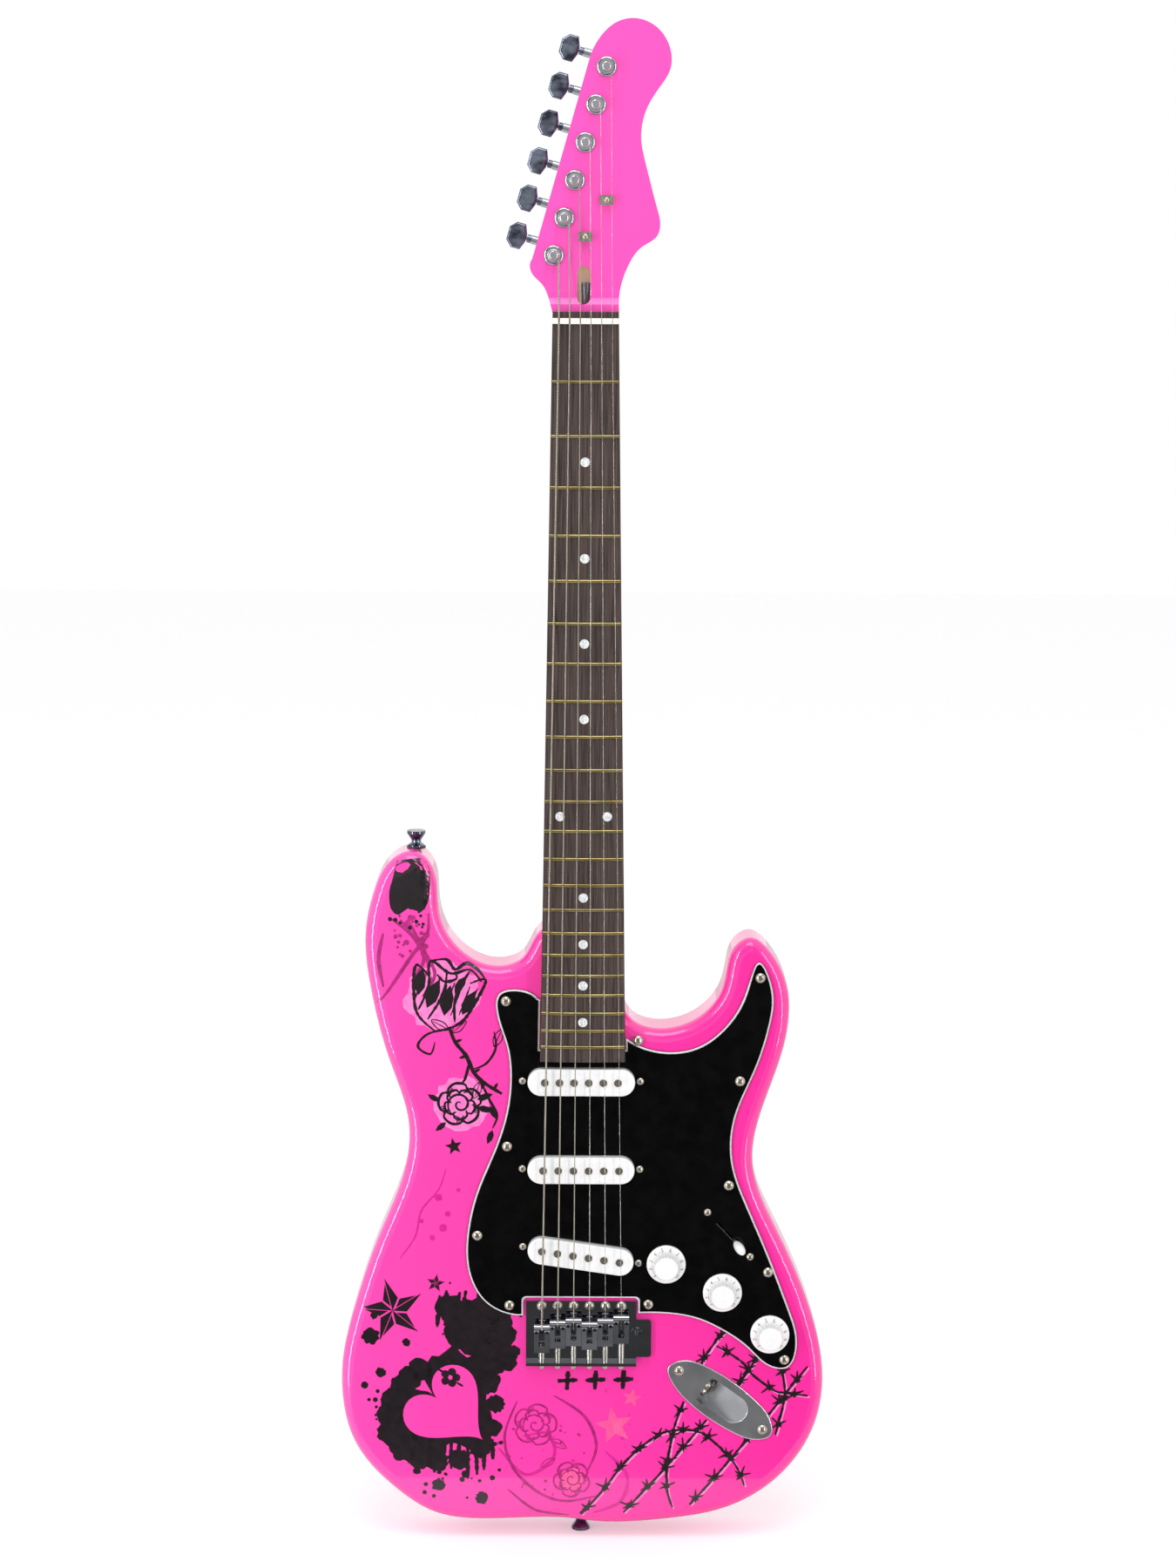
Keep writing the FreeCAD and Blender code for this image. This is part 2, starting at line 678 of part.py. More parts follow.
def make_guard():
    """Three plies; each one above the core is smaller, so the light core shows as a line."""
    cutters = pickup_cut(face_y - 5, face_y + 1, 0.8)
    bridge_room = box(-38.4, 37.2, face_y - 5, face_y + 1, pivot_z - 60, pivot_z + plate_front_reach + 2.0)
    bridge_room = bridge_room.makeFillet(3.0, [e for e in bridge_room.Edges if e.BoundBox.YLength > 5 and
                                               e.BoundBox.ZMin > pivot_z])
    places = [(x, z, plate_screw_radius) for x, z in guard_screws]
    places += [(x, z, bushing_thread_radius) for x, z in knob_places]
    places += [(x, z, 1.2) for x, z in switch_screw_places()]
    for x, z, _ in height_screw_places():
        places.append((x, z, 1.3))
    cutters += [pin(x, z, face_y - 5, face_y + 1, radius + running_gap) for x, z, radius in places]
    cutters.append(set_at(stadium(23.0, 2.0, face_y - 5, face_y + 1), switch_x, switch_z, switch_lean))
    plies = []
    for layer, inset in ((0, 0.0), (1, 0.15), (2, bevel_step)):
        y1 = face_y - layer * ply_thickness
        y0 = y1 - ply_thickness
        ply = plate(guard_wire(inset), y0, y1)
        room = neck_pocket(face_y - 5, face_y + 1, 0.6 + inset)
        bridge_cut = bridge_room.copy()
        if inset:
            bridge_cut = bridge_room.fuse([set_at(bridge_room, inset * side, inset) for side in (-1, 1)])
        ply = cut_all(ply, cutters).cut(room).cut(bridge_cut)
        plies.append(ply)
    return plies


def switch_screw_places():
    lean = math.radians(switch_lean)
    places = []
    for side in (-1, 1):
        reach = side * switch_screw_reach
        places.append((switch_x + reach * math.cos(lean), switch_z - reach * math.sin(lean)))
    return places


def height_screw_places():
    places = []
    for z, slant in zip(pickup_heights, pickup_slants):
        lean = math.radians(slant)
        for side in (-1, 1):
            reach = side * height_screw_reach
            places.append((pickup_x + reach * math.cos(lean), z - reach * math.sin(lean), slant))
    return places


cover_top_y = guard_top_y - cover_above_guard
cover_foot_y = face_y + 6.0
bobbin_foot_y = face_y + pool_depth - 7.0


def make_pickups():
    covers = []
    poles = []
    coils = []
    for z, slant, spread in zip(pickup_heights, pickup_slants, pole_spreads):
        shell = stadium(cover_length, cover_width, cover_top_y, cover_foot_y)
        rims = [edge for edge in shell.Edges if edge.BoundBox.YMax < cover_top_y + 0.01]
        shell = shell.makeFillet(1.0, rims)
        inside = stadium(cover_length - 2 * cover_wall, cover_width - 2 * cover_wall,
                         cover_top_y + cover_wall, cover_foot_y + 1)
        xs = along_x(spread)
        pole_top = cover_top_y - pole_above_cover
        holes = [pin(x, 0, pole_top - 1, cover_foot_y, pole_radius + 0.1) for x in xs]
        covers.append(set_at(cut_all(shell.cut(inside), holes), pickup_x, z, slant))
        coil_top = cover_top_y + cover_wall + 0.1
        flange = stadium(64.0, 14.0, coil_top, coil_top + 1.2)
        winding = stadium(62.0, 11.5, coil_top + 1.2, bobbin_foot_y - 1.5)
        base = box(-42.0, 42.0, bobbin_foot_y - 1.5, bobbin_foot_y, -9.5, 9.5)
        holes = [
            pin(x, 0, coil_top - 1, bobbin_foot_y + 1, pole_radius + pilot_gap) for x in xs
        ]
        for side in (-1, 1):
            holes.append(
                pin(side * height_screw_reach, 0, bobbin_foot_y - 3, bobbin_foot_y + 1, 1.3))
        bobbin = cut_all(flange.multiFuse([winding, base]), holes)
        coils.append(set_at(bobbin, pickup_x, z, slant))
        for x in xs:
            pole = pin(x, 0, pole_top, bobbin_foot_y + 1.5, pole_radius)
            pole = pole.cut(box(x - 4, x + 4, pole_top - 1, pole_top + 0.8, -0.45, 0.45))
            poles.append(set_at(pole, pickup_x, z, slant))
    screws = []
    sleeves = []
    for x, z, slant in height_screw_places():
        screw = dome_screw(2.4, 1.3, 1.25, 16.0)
        screws.append(set_at(screw, x, z, slant + 25.0, guard_top_y))
        sleeve = pin(0, 0, face_y, bobbin_foot_y - 1.5, 2.6).cut(pin(0, 0, face_y, bobbin_foot_y, 1.5))
        sleeves.append(set_at(sleeve, x, z))
    return covers, poles, coils, screws, sleeves


def make_plate_screws():
    screws = []
    screw = dome_screw(plate_screw_head, 1.7, plate_screw_radius, 11.0)
    for index, (x, z) in enumerate(guard_screws):
        screws.append(set_at(screw, x, z, 20.0 + 37.0 * index, guard_top_y))
    for side in (-1, 1):
        short = dome_screw(plate_screw_head, 1.7, plate_screw_radius, 9.0)
        short.translate(V(side * jack_screw_reach, -jack_sheet, 0))
        screws.append(jack_frame(short))
    for index, (x, z) in enumerate(cover_screw_places()):
        screws.append(set_at(flipped(screw), x, z, 15.0 + 31.0 * index, back_y + cover_thickness))
    return screws


def make_knob():
    """Skirted knob about Y: the guard side is at y = 0 and the top at -knob_height."""
    profile = (
        (knob_radius, 0.0), (knob_radius, -1.2), (knob_radius - 0.5, -1.7), (knob_radius - 2.4, -2.8),
        (knob_radius - 3.6, -4.4), (knob_radius - 4.2, -6.0), (knob_radius - 4.9, -knob_height + 0.8),
        (knob_radius - 5.7, -knob_height), (0.0, -knob_height), (0.0, 0.0),
    )
    knob = turned(profile)
    hollow = pin(0, 0, -2.8, 1.0, 8.4)
    socket = pin(0, 0, -knob_height + 2.0, 1.0, shaft_radius + 0.01)
    flutes = []
    for index in range(24):
        angle = 2.0 * math.pi * index / 24
        reach = knob_radius - 3.9
        foot = V(reach * math.cos(angle), -5.4, reach * math.sin(angle))
        lean = V(-math.cos(angle) * 0.11, -1, -math.sin(angle) * 0.11)
        flutes.append(Part.makeCylinder(0.75, 9.0, foot, lean))
    return cut_all(knob.cut(hollow).cut(socket), flutes)


knob_gap = 0.9
pot_top_y = face_y + 0.3


def make_controls():
    knobs = []
    pots = []
    nuts = []
    for x, z in knob_places:
        knob = set_at(make_knob(), x, z, 0.0, guard_top_y - knob_gap)
        shaft_top = guard_top_y - knob_gap - knob_height + 2.05
        shaft = pin(x, z, shaft_top, pot_top_y + 6.0, shaft_radius)
        collar = pin(x, z, pot_top_y + 5.0, pot_top_y + 6.5, shaft_radius + 2.0)
        knobs.append([knob, shaft.fuse(collar)])
        can = pin(x, z, pot_top_y, pot_top_y + 9.0, pot_radius)
        thread = pin(x, z, guard_top_y - 2.0, pot_top_y + 1.0, bushing_thread_radius - 0.1)
        shoulder = pin(x, z, face_y, pot_top_y + 0.5, 8.0)
        room = [
            pin(x, z, guard_top_y - 4, pot_top_y + 7.2, shaft_radius + running_gap),
            pin(x, z, pot_top_y + 4.9, pot_top_y + 7.2, shaft_radius + 2.1),
        ]
        pots.append(cut_all(can.multiFuse([thread, shoulder]), room))
        six = [V(7.2 * math.cos(math.pi * k / 3), 0, 7.2 * math.sin(math.pi * k / 3)) for k in range(6)]
        hexagon = Part.Face(Part.makePolygon(six + six[:1])).extrude(V(0, 2.0, 0))
        hexagon.translate(V(0, guard_top_y - 2.0, 0))
        nuts.append(set_at(hexagon, x, z).cut(pin(x, z, guard_top_y - 4, guard_top_y + 1,
                                                  bushing_thread_radius - 0.1)))
    return knobs, pots, nuts


lever_pivot_y = guard_top_y + lever_pivot_depth


def make_switch():
    frame = box(-24.5, 24.5, face_y, face_y + 1.2, -6.0, 6.0)
    frame = frame.cut(stadium(24.0, 3.2, face_y - 1, face_y + 3))
    walls = [box(-13.0, 13.0, face_y + 1.2, lever_pivot_y + 4.0, z, z + 1.2) for z in (-6.0, 4.8)]
    pivot = rod(V(0, lever_pivot_y, -5.0), V(0, lever_pivot_y, 5.0), 1.2)
    holes = [pin(side * switch_screw_reach, 0, face_y - 2, face_y + 3, 1.2) for side in (-1, 1)]
    frame = cut_all(frame.multiFuse(walls + [pivot]), holes)
    screws = []
    for side in (-1, 1):
        screw = dome_screw(2.5, 1.4, 1.2, 7.0)
        screws.append(set_at(screw, side * switch_screw_reach, 0, 0.0, guard_top_y))
    blade_top = guard_top_y - 7.0
    blade = box(-2.1, 2.1, blade_top, lever_pivot_y, -0.65, 0.65)
    hub = rod(V(0, lever_pivot_y, -0.65), V(0, lever_pivot_y, 0.65), 3.2)
    blade = blade.fuse(hub).cut(rod(V(0, lever_pivot_y, -3), V(0, lever_pivot_y, 3), 1.2 + running_gap))
    tip_base = guard_top_y - 3.4
    sections = []
    for y, half_x, half_z in ((tip_base, 3.1, 2.1), (tip_base - 4.0, 4.2, 3.0), (tip_base - 9.0, 3.4, 2.5),
                              (tip_base - 11.0, 1.9, 1.5)):
        ring = Part.Ellipse(V(0, y, 0), half_x, half_z).toShape()
        ring.rotate(V(0, y, 0), V(1, 0, 0), 90)
        sections.append(Part.Wire([ring]))
    tip = Part.makeLoft(sections, True, False)
    tip = tip.cut(box(-2.12, 2.12, blade_top, tip_base + 1, -0.67, 0.67))
    for moving in (blade, tip):
        moving.rotate(V(0, lever_pivot_y, 0), V(0, 0, 1), lever_throw / 2.0)
    group = [frame] + screws + [blade, tip]
    placed = [set_at(piece, switch_x, switch_z, switch_lean) for piece in group]
    return placed[0], placed[1:3], placed[3], placed[4]


def jack_recess(grow, floor_drop):
    """The recess's wedge, clipped to rounded sides."""
    corners = [
        V(recess_start - grow * 2, -6, 0), V(recess_start - grow, 0, 0),
        V(recess_foot - grow, recess_depth + floor_drop, 0),
        V(recess_end + grow, floor_drop, 0), V(recess_end + grow + 6, -6, 0),
    ]
    wedge = Part.Face(Part.makePolygon(corners + corners[:1])).extrude(V(0, 0, 30))
    wedge.translate(V(0, 0, -15))
    rounds = stadium(recess_end - recess_start + 2 * grow + 5.0, 19.0 + 2 * grow, -10, 30)
    rounds.translate(V((recess_start + recess_end) / 2.0 - 2.5, 0, 0))
    return wedge.common(rounds)


def make_jack():
    """Boat-shaped plate with a sloping recess, and the socket in the recess's steep wall."""
    points = (
        (-41.2, 0.0), (-34.0, 9.0), (-20.0, 13.4), (0.0, 15.0), (20.0, 13.4), (34.0, 9.0), (41.2, 0.0),
        (34.0, -9.0), (20.0, -13.4), (0.0, -15.0), (-20.0, -13.4), (-34.0, -9.0),
    )
    rim = plate(loop_wire(points), -jack_sheet, 0.0)
    edges = [edge for edge in rim.Edges if edge.BoundBox.YMax < -jack_sheet + 0.01]
    rim = rim.makeFillet(0.9, edges)
    below = box(-60, 60, -0.5, 30, -20, 20)
    cup = jack_recess(jack_sheet, jack_sheet).common(below)
    shell = rim.fuse(cup).cut(jack_recess(0.0, 0.0))
    holes = [pin(side * jack_screw_reach, 0, -5, 2, plate_screw_radius + 0.1) for side in (-1, 1)]
    shell = cut_all(shell, holes + [jack_rod(-5.0, 5.0, 4.8)])
    sleeve = jack_rod(-2.6, 4.0, 4.7)
    nut = jack_rod(-2.2, -0.02, 6.2)
    barrel = jack_rod(2.6, 16.5, 7.4)
    socket = sleeve.multiFuse([nut, barrel]).cut(jack_rod(-5.0, 14.5, jack_bore_radius))
    return jack_frame(shell), jack_frame(socket)


def make_strap_fittings():
    """Flanged button, screw and felt; y = 0 is the felt's seat and the flange looks to -Y."""
    seat = felt_thickness
    height = button_height
    profile = (
        (0.0, -seat), (5.4, -seat), (5.4, -seat - 0.9), (3.1, -seat - 2.6), (3.1, -seat - 4.0),
        (button_flange_radius, -height + button_flange_wall),
        (button_flange_radius, -height), (0.0, -height),
    )
    button = turned(profile)
    head = Part.makeCone(3.6, 2.1, 2.4, V(0, -height, 0), V(0, 1, 0))
    shank = pin(0, 0, -height, 22.0, wood_screw_radius)
    screw = head.fuse(shank).cut(box(-3.6, 3.6, -height - 1, -height + 0.8, -0.5, 0.5))
    button = button.cut(Part.makeCone(3.6, 2.1, 2.4, V(0, -height, 0), V(0, 1, 0)))
    button = button.cut(pin(0, 0, -height, 5, wood_screw_radius + pilot_gap))
    felt = pin(0, 0, -seat, 0, felt_radius).cut(pin(0, 0, -seat - 1, 1, wood_screw_radius))
    groups = [[], [], []]
    for x, z, sign in strap_places():
        for group, piece in zip(groups, (button, screw, felt)):
            placed = piece.copy()
            placed.rotate(V(0, 0, 0), V(1, 0, 0), -90.0 * sign)
            placed.translate(V(x, 0, z))
            group.append(placed)
    return groups


def housing_screw_place(index):
    x, z = post_place(index)
    lean = math.radians(head_lean)
    reach = -9.4
    return x + reach * math.sin(lean), z + reach * math.cos(lean)


def make_thread():
    """Worm about +Z; facing +X it has a gap at its middle, which takes a tooth."""
    pitch = 2.0 * math.pi * gear_pitch_radius / gear_teeth
    length = pitch * worm_turns
    root = worm_pitch_radius - tooth_depth * 0.55
    tip = worm_pitch_radius + tooth_depth * 0.45
    sunk = root - 0.2
    corners = [V(sunk, 0, -0.36), V(tip, 0, -0.18), V(tip, 0, 0.18), V(sunk, 0, 0.36)]
    helix = Part.makeHelix(pitch, length, worm_pitch_radius)
    thread = Part.Wire(helix.Edges).makePipeShell([Part.makePolygon(corners + corners[:1])], True, True)
    thread.translate(V(0, 0, -length / 2.0))
    core = Part.makeCylinder(root, length + 2.4, V(0, 0, -length / 2.0 - 1.2))
    return core.fuse(thread), length


def make_gear():
    root = gear_pitch_radius - tooth_depth * 0.6
    tip = gear_pitch_radius + tooth_depth * 0.4
    teeth = []
    for index in range(gear_teeth):
        angle = 360.0 * index / gear_teeth
        tooth = Part.makePolygon([V(-0.34, 0, root - 0.3), V(-0.34, 0, root), V(-0.17, 0, tip),
                                  V(0.17, 0, tip), V(0.34, 0, root), V(0.34, 0, root - 0.3),
                                  V(-0.34, 0, root - 0.3)])
        solid = Part.Face(tooth).extrude(V(0, gear_width, 0))
        solid.translate(V(0, gear_y - gear_width / 2.0, 0))
        teeth.append(set_at(solid, 0, 0, angle))
    wheel = pin(0, 0, gear_y - gear_width / 2.0, gear_y + gear_width / 2.0, root)
    return wheel.multiFuse(teeth)


def make_tuner(index):
    """Button with worm, post with worm wheel, housing, bushing, in the post's own frame."""
    neck_radius = 2.4
    gear_back = gear_y + gear_width / 2.0
    worm, thread_length = make_thread()
    worm.rotate(V(0, 0, 0), V(0, 0, 1), 180)
    worm.rotate(V(0, 0, 0), V(0, 1, 0), -90)
    worm.translate(V(0, gear_y, worm_offset))
    half_worm = thread_length / 2.0 + 1.2
    reach = button_reach
    neck_end = reach - button_length / 2.0
    shaft = rod(V(-half_worm, gear_y, worm_offset), V(-neck_end - 3.0, gear_y, worm_offset),
                worm_shaft_radius)
    collar = rod(V(-neck_end + 3.4, gear_y, worm_offset), V(-neck_end + 0.5, gear_y, worm_offset), 2.6)
    half_w = button_width / 2.0
    half_l = button_length / 2.0
    cut = 4.0
    corners = (
        (-half_l, -half_w + cut), (-half_l + cut, -half_w),
        (half_l - 2.2, -half_w), (half_l, -half_w + cut + 1.5),
        (half_l, half_w - cut - 1.5), (half_l - 2.2, half_w),
        (-half_l + cut, half_w), (-half_l, half_w - cut),
    )
    placed = [(x - reach, z + worm_offset) for x, z in corners]
    blade = plate(straight_wire(placed), gear_y - button_thickness / 2.0, gear_y + button_thickness / 2.0)
    blade = blade.makeFillet(1.6, [e for e in blade.Edges if e.BoundBox.YLength < 0.1])
    button = worm.multiFuse([shaft, collar, blade])
    post = pin(0, 0, head_back_y - 0.4, head_face_y - post_height, post_radius)
    groove = turned((
        (post_radius + 1, wind_top_y - 0.4), (waist_radius, wind_top_y),
        (waist_radius, wind_low_y), (post_radius + 1, wind_low_y + 0.4),
    ))
    crown_edges = [e for e in post.Edges if e.BoundBox.YMax < head_face_y - post_height + 0.01]
    post = post.makeFillet(post_round, crown_edges).cut(groove)
    neck_pin = pin(0, 0, head_back_y - 0.4, gear_back, neck_radius)
    stub = pin(0, 0, gear_back, gear_back + 1.6, 1.2)
    slot = box(-0.6, 0.6, head_face_y - post_height - 1, head_face_y - post_height + 1.6, -4, 4)
    post = post.multiFuse([neck_pin, stub, make_gear()]).cut(slot)
    thickness = string_diameters[index]
    turns = []
    for turn in range(2 if thickness > 0.5 else 4):
        y = wrap_y + (turn + 1) * (thickness + running_gap)
        ring = Part.makeTorus(wrap_reach(index), thickness / 2.0, V(0, y, 0), V(0, 1, 0))
        turns.append(ring)
    back = gear_back + 1.6 + housing_wall
    shell = box(-10.6, 6.6, head_back_y, back, -6.4, worm_offset + 3.8)
    shell = shell.makeFillet(1.4, [e for e in shell.Edges if e.BoundBox.YMin > head_back_y + 0.1])
    ear = pin(0, -9.4, head_back_y, head_back_y + 1.6, 2.6).fuse(
        box(-2.6, 2.6, head_back_y, head_back_y + 1.6, -9.4, -6.0))
    throat = rod(V(-10.6, gear_y, worm_offset), V(-neck_end + 3.6, gear_y, worm_offset), 2.9)
    room = [
        pin(0, 0, gear_y - gear_width / 2.0 - 0.2, gear_back + 0.15, gear_pitch_radius + 0.7),
        pin(0, 0, head_back_y - 1, gear_y, neck_radius + running_gap),
        pin(0, 0, gear_y, gear_back + 1.75, 1.2 + running_gap),
        rod(V(-half_worm - 0.2, gear_y, worm_offset), V(half_worm + 0.2, gear_y, worm_offset), 2.5),
        rod(V(-half_worm, gear_y, worm_offset), V(-30, gear_y, worm_offset),
            worm_shaft_radius + running_gap),
        pin(0, -9.4, head_back_y - 1, head_back_y + 3, 1.0),
    ]
    housing = cut_all(shell.multiFuse([ear, throat]), room)
    flange = pin(0, 0, head_face_y, head_face_y - bushing_height, bushing_radius)
    rim = [e for e in flange.Edges if abs(e.BoundBox.YMin - (head_face_y - bushing_height)) < 0.01 and
           e.BoundBox.YLength < 0.01]
    flange = flange.makeFillet(bushing_round, rim)
    sleeve = pin(0, 0, head_face_y, head_back_y - 1.0, bushing_sleeve_radius)
    bushing = flange.fuse(sleeve).cut(pin(0, 0, head_face_y - 9, head_back_y + 1, post_radius + running_gap))
    return button, post, turns, housing, bushing


wrap_y = head_face_y - 6.4
wind_top_y = head_face_y - 8.2
wind_low_y = head_face_y - 2.9


def make_trees():
    trees = []
    screws = []
    for x, z in tree_places():
        wing_y = head_face_y - tree_rise
        stand = pin(0, 0, wing_y + 1.0, head_face_y, 2.1)
        wing = box(-4.4, 4.4, wing_y, wing_y + 1.0, -3.0, 3.0)
        wing = wing.makeFillet(0.9, [e for e in wing.Edges if e.BoundBox.YLength > 0.5])
        tree = wing.fuse(stand).cut(pin(0, 0, wing_y - 1, head_face_y + 1, 1.0))
        tree = set_at(tree, x, z)
        for string in range(2, string_count):
            tree = tree.cut(string_run(string, 0.05))
        trees.append(tree)
        screws.append(set_at(dome_screw(1.9, 1.0, 1.0, 11.5), x, z, 30.0, wing_y))
    for index in range(string_count):
        x, z = housing_screw_place(index)
        screw = flipped(dome_screw(1.9, 1.0, 1.0, 8.4))
        screws.append(set_at(screw, x, z, 12.0 * index, head_back_y + 1.6))
    return trees, screws


tree_rise = 4.4


def string_run(index, clearance=0.0):
    """A string's line from its saddle's crown over the nut to its post."""
    radius = string_diameters[index] / 2.0
    slot = V(nut_xs[index], string_seat_y(nut_xs[index], action_nut), nut_z + 1.2)
    crown_z, crown_y = saddle_crown(index)
    start = V(saddle_xs[index], crown_y - radius - 0.02, crown_z + 1.4)
    post_x, post_z = post_place(index)
    end = V(post_x + wrap_reach(index), wrap_y, post_z)
    points = [start, slot]
    bends = [10.0]
    for tree_strings, (_, tree_z) in zip(((2, 3), (4, 5)), tree_places()):
        if index in tree_strings:
            under_y = head_face_y - tree_rise + 1.0 + radius + 0.03
            points.append(V(string_x_at(index, tree_z - nut_z), under_y, tree_z))
            bends.append(6.0)
    points.append(end)
    return routed_rod(points, radius + clearance, bends)


def saddle_crown(index):
    """Z and Y of the line where the string leaves its saddle."""
    x = saddle_xs[index]
    return treble_saddle_z - intonation[index], board_top_y - action_saddle + 0.7 * crown(x)


def make_bridge():
    low = pivot_z - plate_tail_reach
    top = pivot_z + plate_front_reach
    sheet = box(-plate_half_width, plate_half_width - 0.5, plate_top_y, face_y, low, top)
    ear = box(plate_half_width - 5.0, 45.9, plate_top_y, face_y, pivot_z - 34.9, pivot_z - 9.4)
    ear = ear.makeFillet(2.0, [e for e in ear.Edges if e.BoundBox.YLength > 1 and e.BoundBox.XMin > 40])
    lip = box(-plate_half_width, plate_half_width - 0.5, plate_top_y - lip_rise, plate_top_y, low, low + 2.0)
    blank = sheet.multiFuse([ear, lip]).removeSplitter()
    # The front edge is ground away so that the plate can rock on its screws
    knife_z = pivot_z - 0.8
    knife = Part.Face(Part.makePolygon([
        V(-60, face_y + 0.1, knife_z), V(-60, face_y + 0.1, top + 1), V(-60, face_y - 0.95, top + 1),
        V(-60, face_y + 0.1, knife_z)])).extrude(V(120, 0, 0))
    holes = [pin(x, pivot_z, plate_top_y - 1, face_y + 1, 2.7) for x in saddle_xs]
    holes += [pin(x, string_hole_z, plate_top_y - 1, face_y + 1, 1.7) for x in saddle_xs]
    holes += [rod(V(x, intonation_y, low - 1), V(x, intonation_y, low + 3), 1.35) for x in saddle_xs]
    holes.append(pin(arm_x, string_hole_z, plate_top_y - 1, face_y + 1, arm_socket_radius))
    shell = cut_all(blank.cut(knife), holes)
    collar = pin(arm_x, string_hole_z, plate_top_y - 1.2, plate_top_y + 16.0, arm_socket_radius)
    collar = collar.cut(pin(arm_x, string_hole_z, plate_top_y - 3, plate_top_y + 15.0, arm_bore_radius))
    block = box(-34.0, 41.0, face_y, face_y + block_length, block_front_z - block_width, block_front_z)
    cuts = [pin(x, string_hole_z, face_y - 1, face_y + block_length + 1, 0.9) for x in saddle_xs]
    cuts += [pin(x, string_hole_z, ball_y - 0.1, face_y + block_length + 1, 2.3) for x in saddle_xs]
    cuts.append(pin(arm_x, string_hole_z, face_y - 1, plate_top_y + 16.0, arm_socket_radius))
    block = cut_all(block, cuts)
    return [shell, collar], [block]


arm_x = 36.2
lip_rise = 5.6
intonation_y = plate_top_y - 3.4
ball_y = face_y + 26.0


def make_saddle(index):
    crown_z, crown_y = saddle_crown(index)
    x = saddle_xs[index]
    rear_z = crown_z - saddle_length
    wall_top = plate_top_y - 6.2
    sheet = saddle_sheet
    outer = (
        V(x, plate_top_y - 0.8, rear_z), V(x, wall_top, rear_z), V(x, crown_y + 0.6, crown_z - 3.4),
    )
    inner = (
        V(x, crown_y + 2.6, crown_z + 0.5), V(x, crown_y + sheet + 0.2, crown_z - 0.9),
        V(x, wall_top + sheet, rear_z + sheet), V(x, plate_top_y - 0.8, rear_z + sheet),
    )
    crown_point = V(x, crown_y, crown_z)
    nose = V(x, crown_y + 2.6, crown_z + 1.7)
    edges = [
        Part.LineSegment(outer[0], outer[1]).toShape(),
        Part.LineSegment(outer[1], outer[2]).toShape(),
        Part.Arc(outer[2], crown_point, nose).toShape(),
        Part.LineSegment(nose, inner[0]).toShape(),
        Part.LineSegment(inner[0], inner[1]).toShape(),
        Part.LineSegment(inner[1], inner[2]).toShape(),
        Part.LineSegment(inner[2], inner[3]).toShape(),
        Part.LineSegment(inner[3], outer[0]).toShape(),
    ]
    half = saddle_width / 2.0
    solid = Part.Face(Part.Wire(edges)).extrude(V(saddle_width, 0, 0))
    solid.translate(V(-half, 0, 0))
    window = box(x - 1.9, x + 1.9, crown_y - 3, plate_top_y, rear_z + 4.2, crown_z - 1.6)
    groove_radius = string_diameters[index] / 2.0 + 0.02
    groove = rod(V(x, crown_y - groove_radius, crown_z - 5), V(x, crown_y - groove_radius, crown_z + 5),
                 groove_radius)
    solid = solid.cut(window).cut(groove).cut(string_tail(index, 0.05))
    screws = []
    for side in (-1, 1):
        sx = x + side * 3.5
        screw_z = crown_z - 3.6
        solid = solid.cut(pin(sx, screw_z, crown_y - 3, plate_top_y, 1.25))
        screw = pin(sx, screw_z, crown_y + 0.9, plate_top_y, 1.25)
        screw = screw.cut(pin(sx, screw_z, crown_y - 1, crown_y + 2.4, 0.65))
        screws.append(screw)
    solid = solid.cut(rod(V(x, intonation_y, rear_z - 1), V(x, intonation_y, rear_z + 3), 1.25))
    tail_z = pivot_z - plate_tail_reach
    bolt = rod(V(x, intonation_y, tail_z), V(x, intonation_y, rear_z + sheet + 2.2), 1.25)
    head = Part.makeCone(2.5, 1.9, 1.8, V(x, intonation_y, tail_z), V(0, 0, -1))
    head = head.cut(box(x - 0.3, x + 0.3, intonation_y - 1.4, intonation_y + 1.4, tail_z - 2, tail_z - 0.9))
    spring = rod(V(x, intonation_y, tail_z + 2.0), V(x, intonation_y, rear_z), 1.9)
    spring = spring.cut(rod(V(x, intonation_y, tail_z), V(x, intonation_y, rear_z + 2), 1.35))
    return solid, screws, bolt.fuse(head), spring


def string_tail(index, clearance=0.0):
    """The string's end: ball in the block, up through the plate and over the crown."""
    radius = string_diameters[index] / 2.0
    crown_z, crown_y = saddle_crown(index)
    x = saddle_xs[index]
    points = [
        V(x, ball_y + 1.0, string_hole_z), V(x, plate_top_y + 0.2, string_hole_z),
        V(x, crown_y - radius - 0.02, crown_z - 0.1), V(x, crown_y - radius - 0.02, crown_z + 1.4),
    ]
    tail = routed_rod(points, radius + clearance, [3.2, 2.8])
    ball = pin(x, string_hole_z, ball_y, ball_y + 3.6, 1.95)
    return tail.fuse(ball)


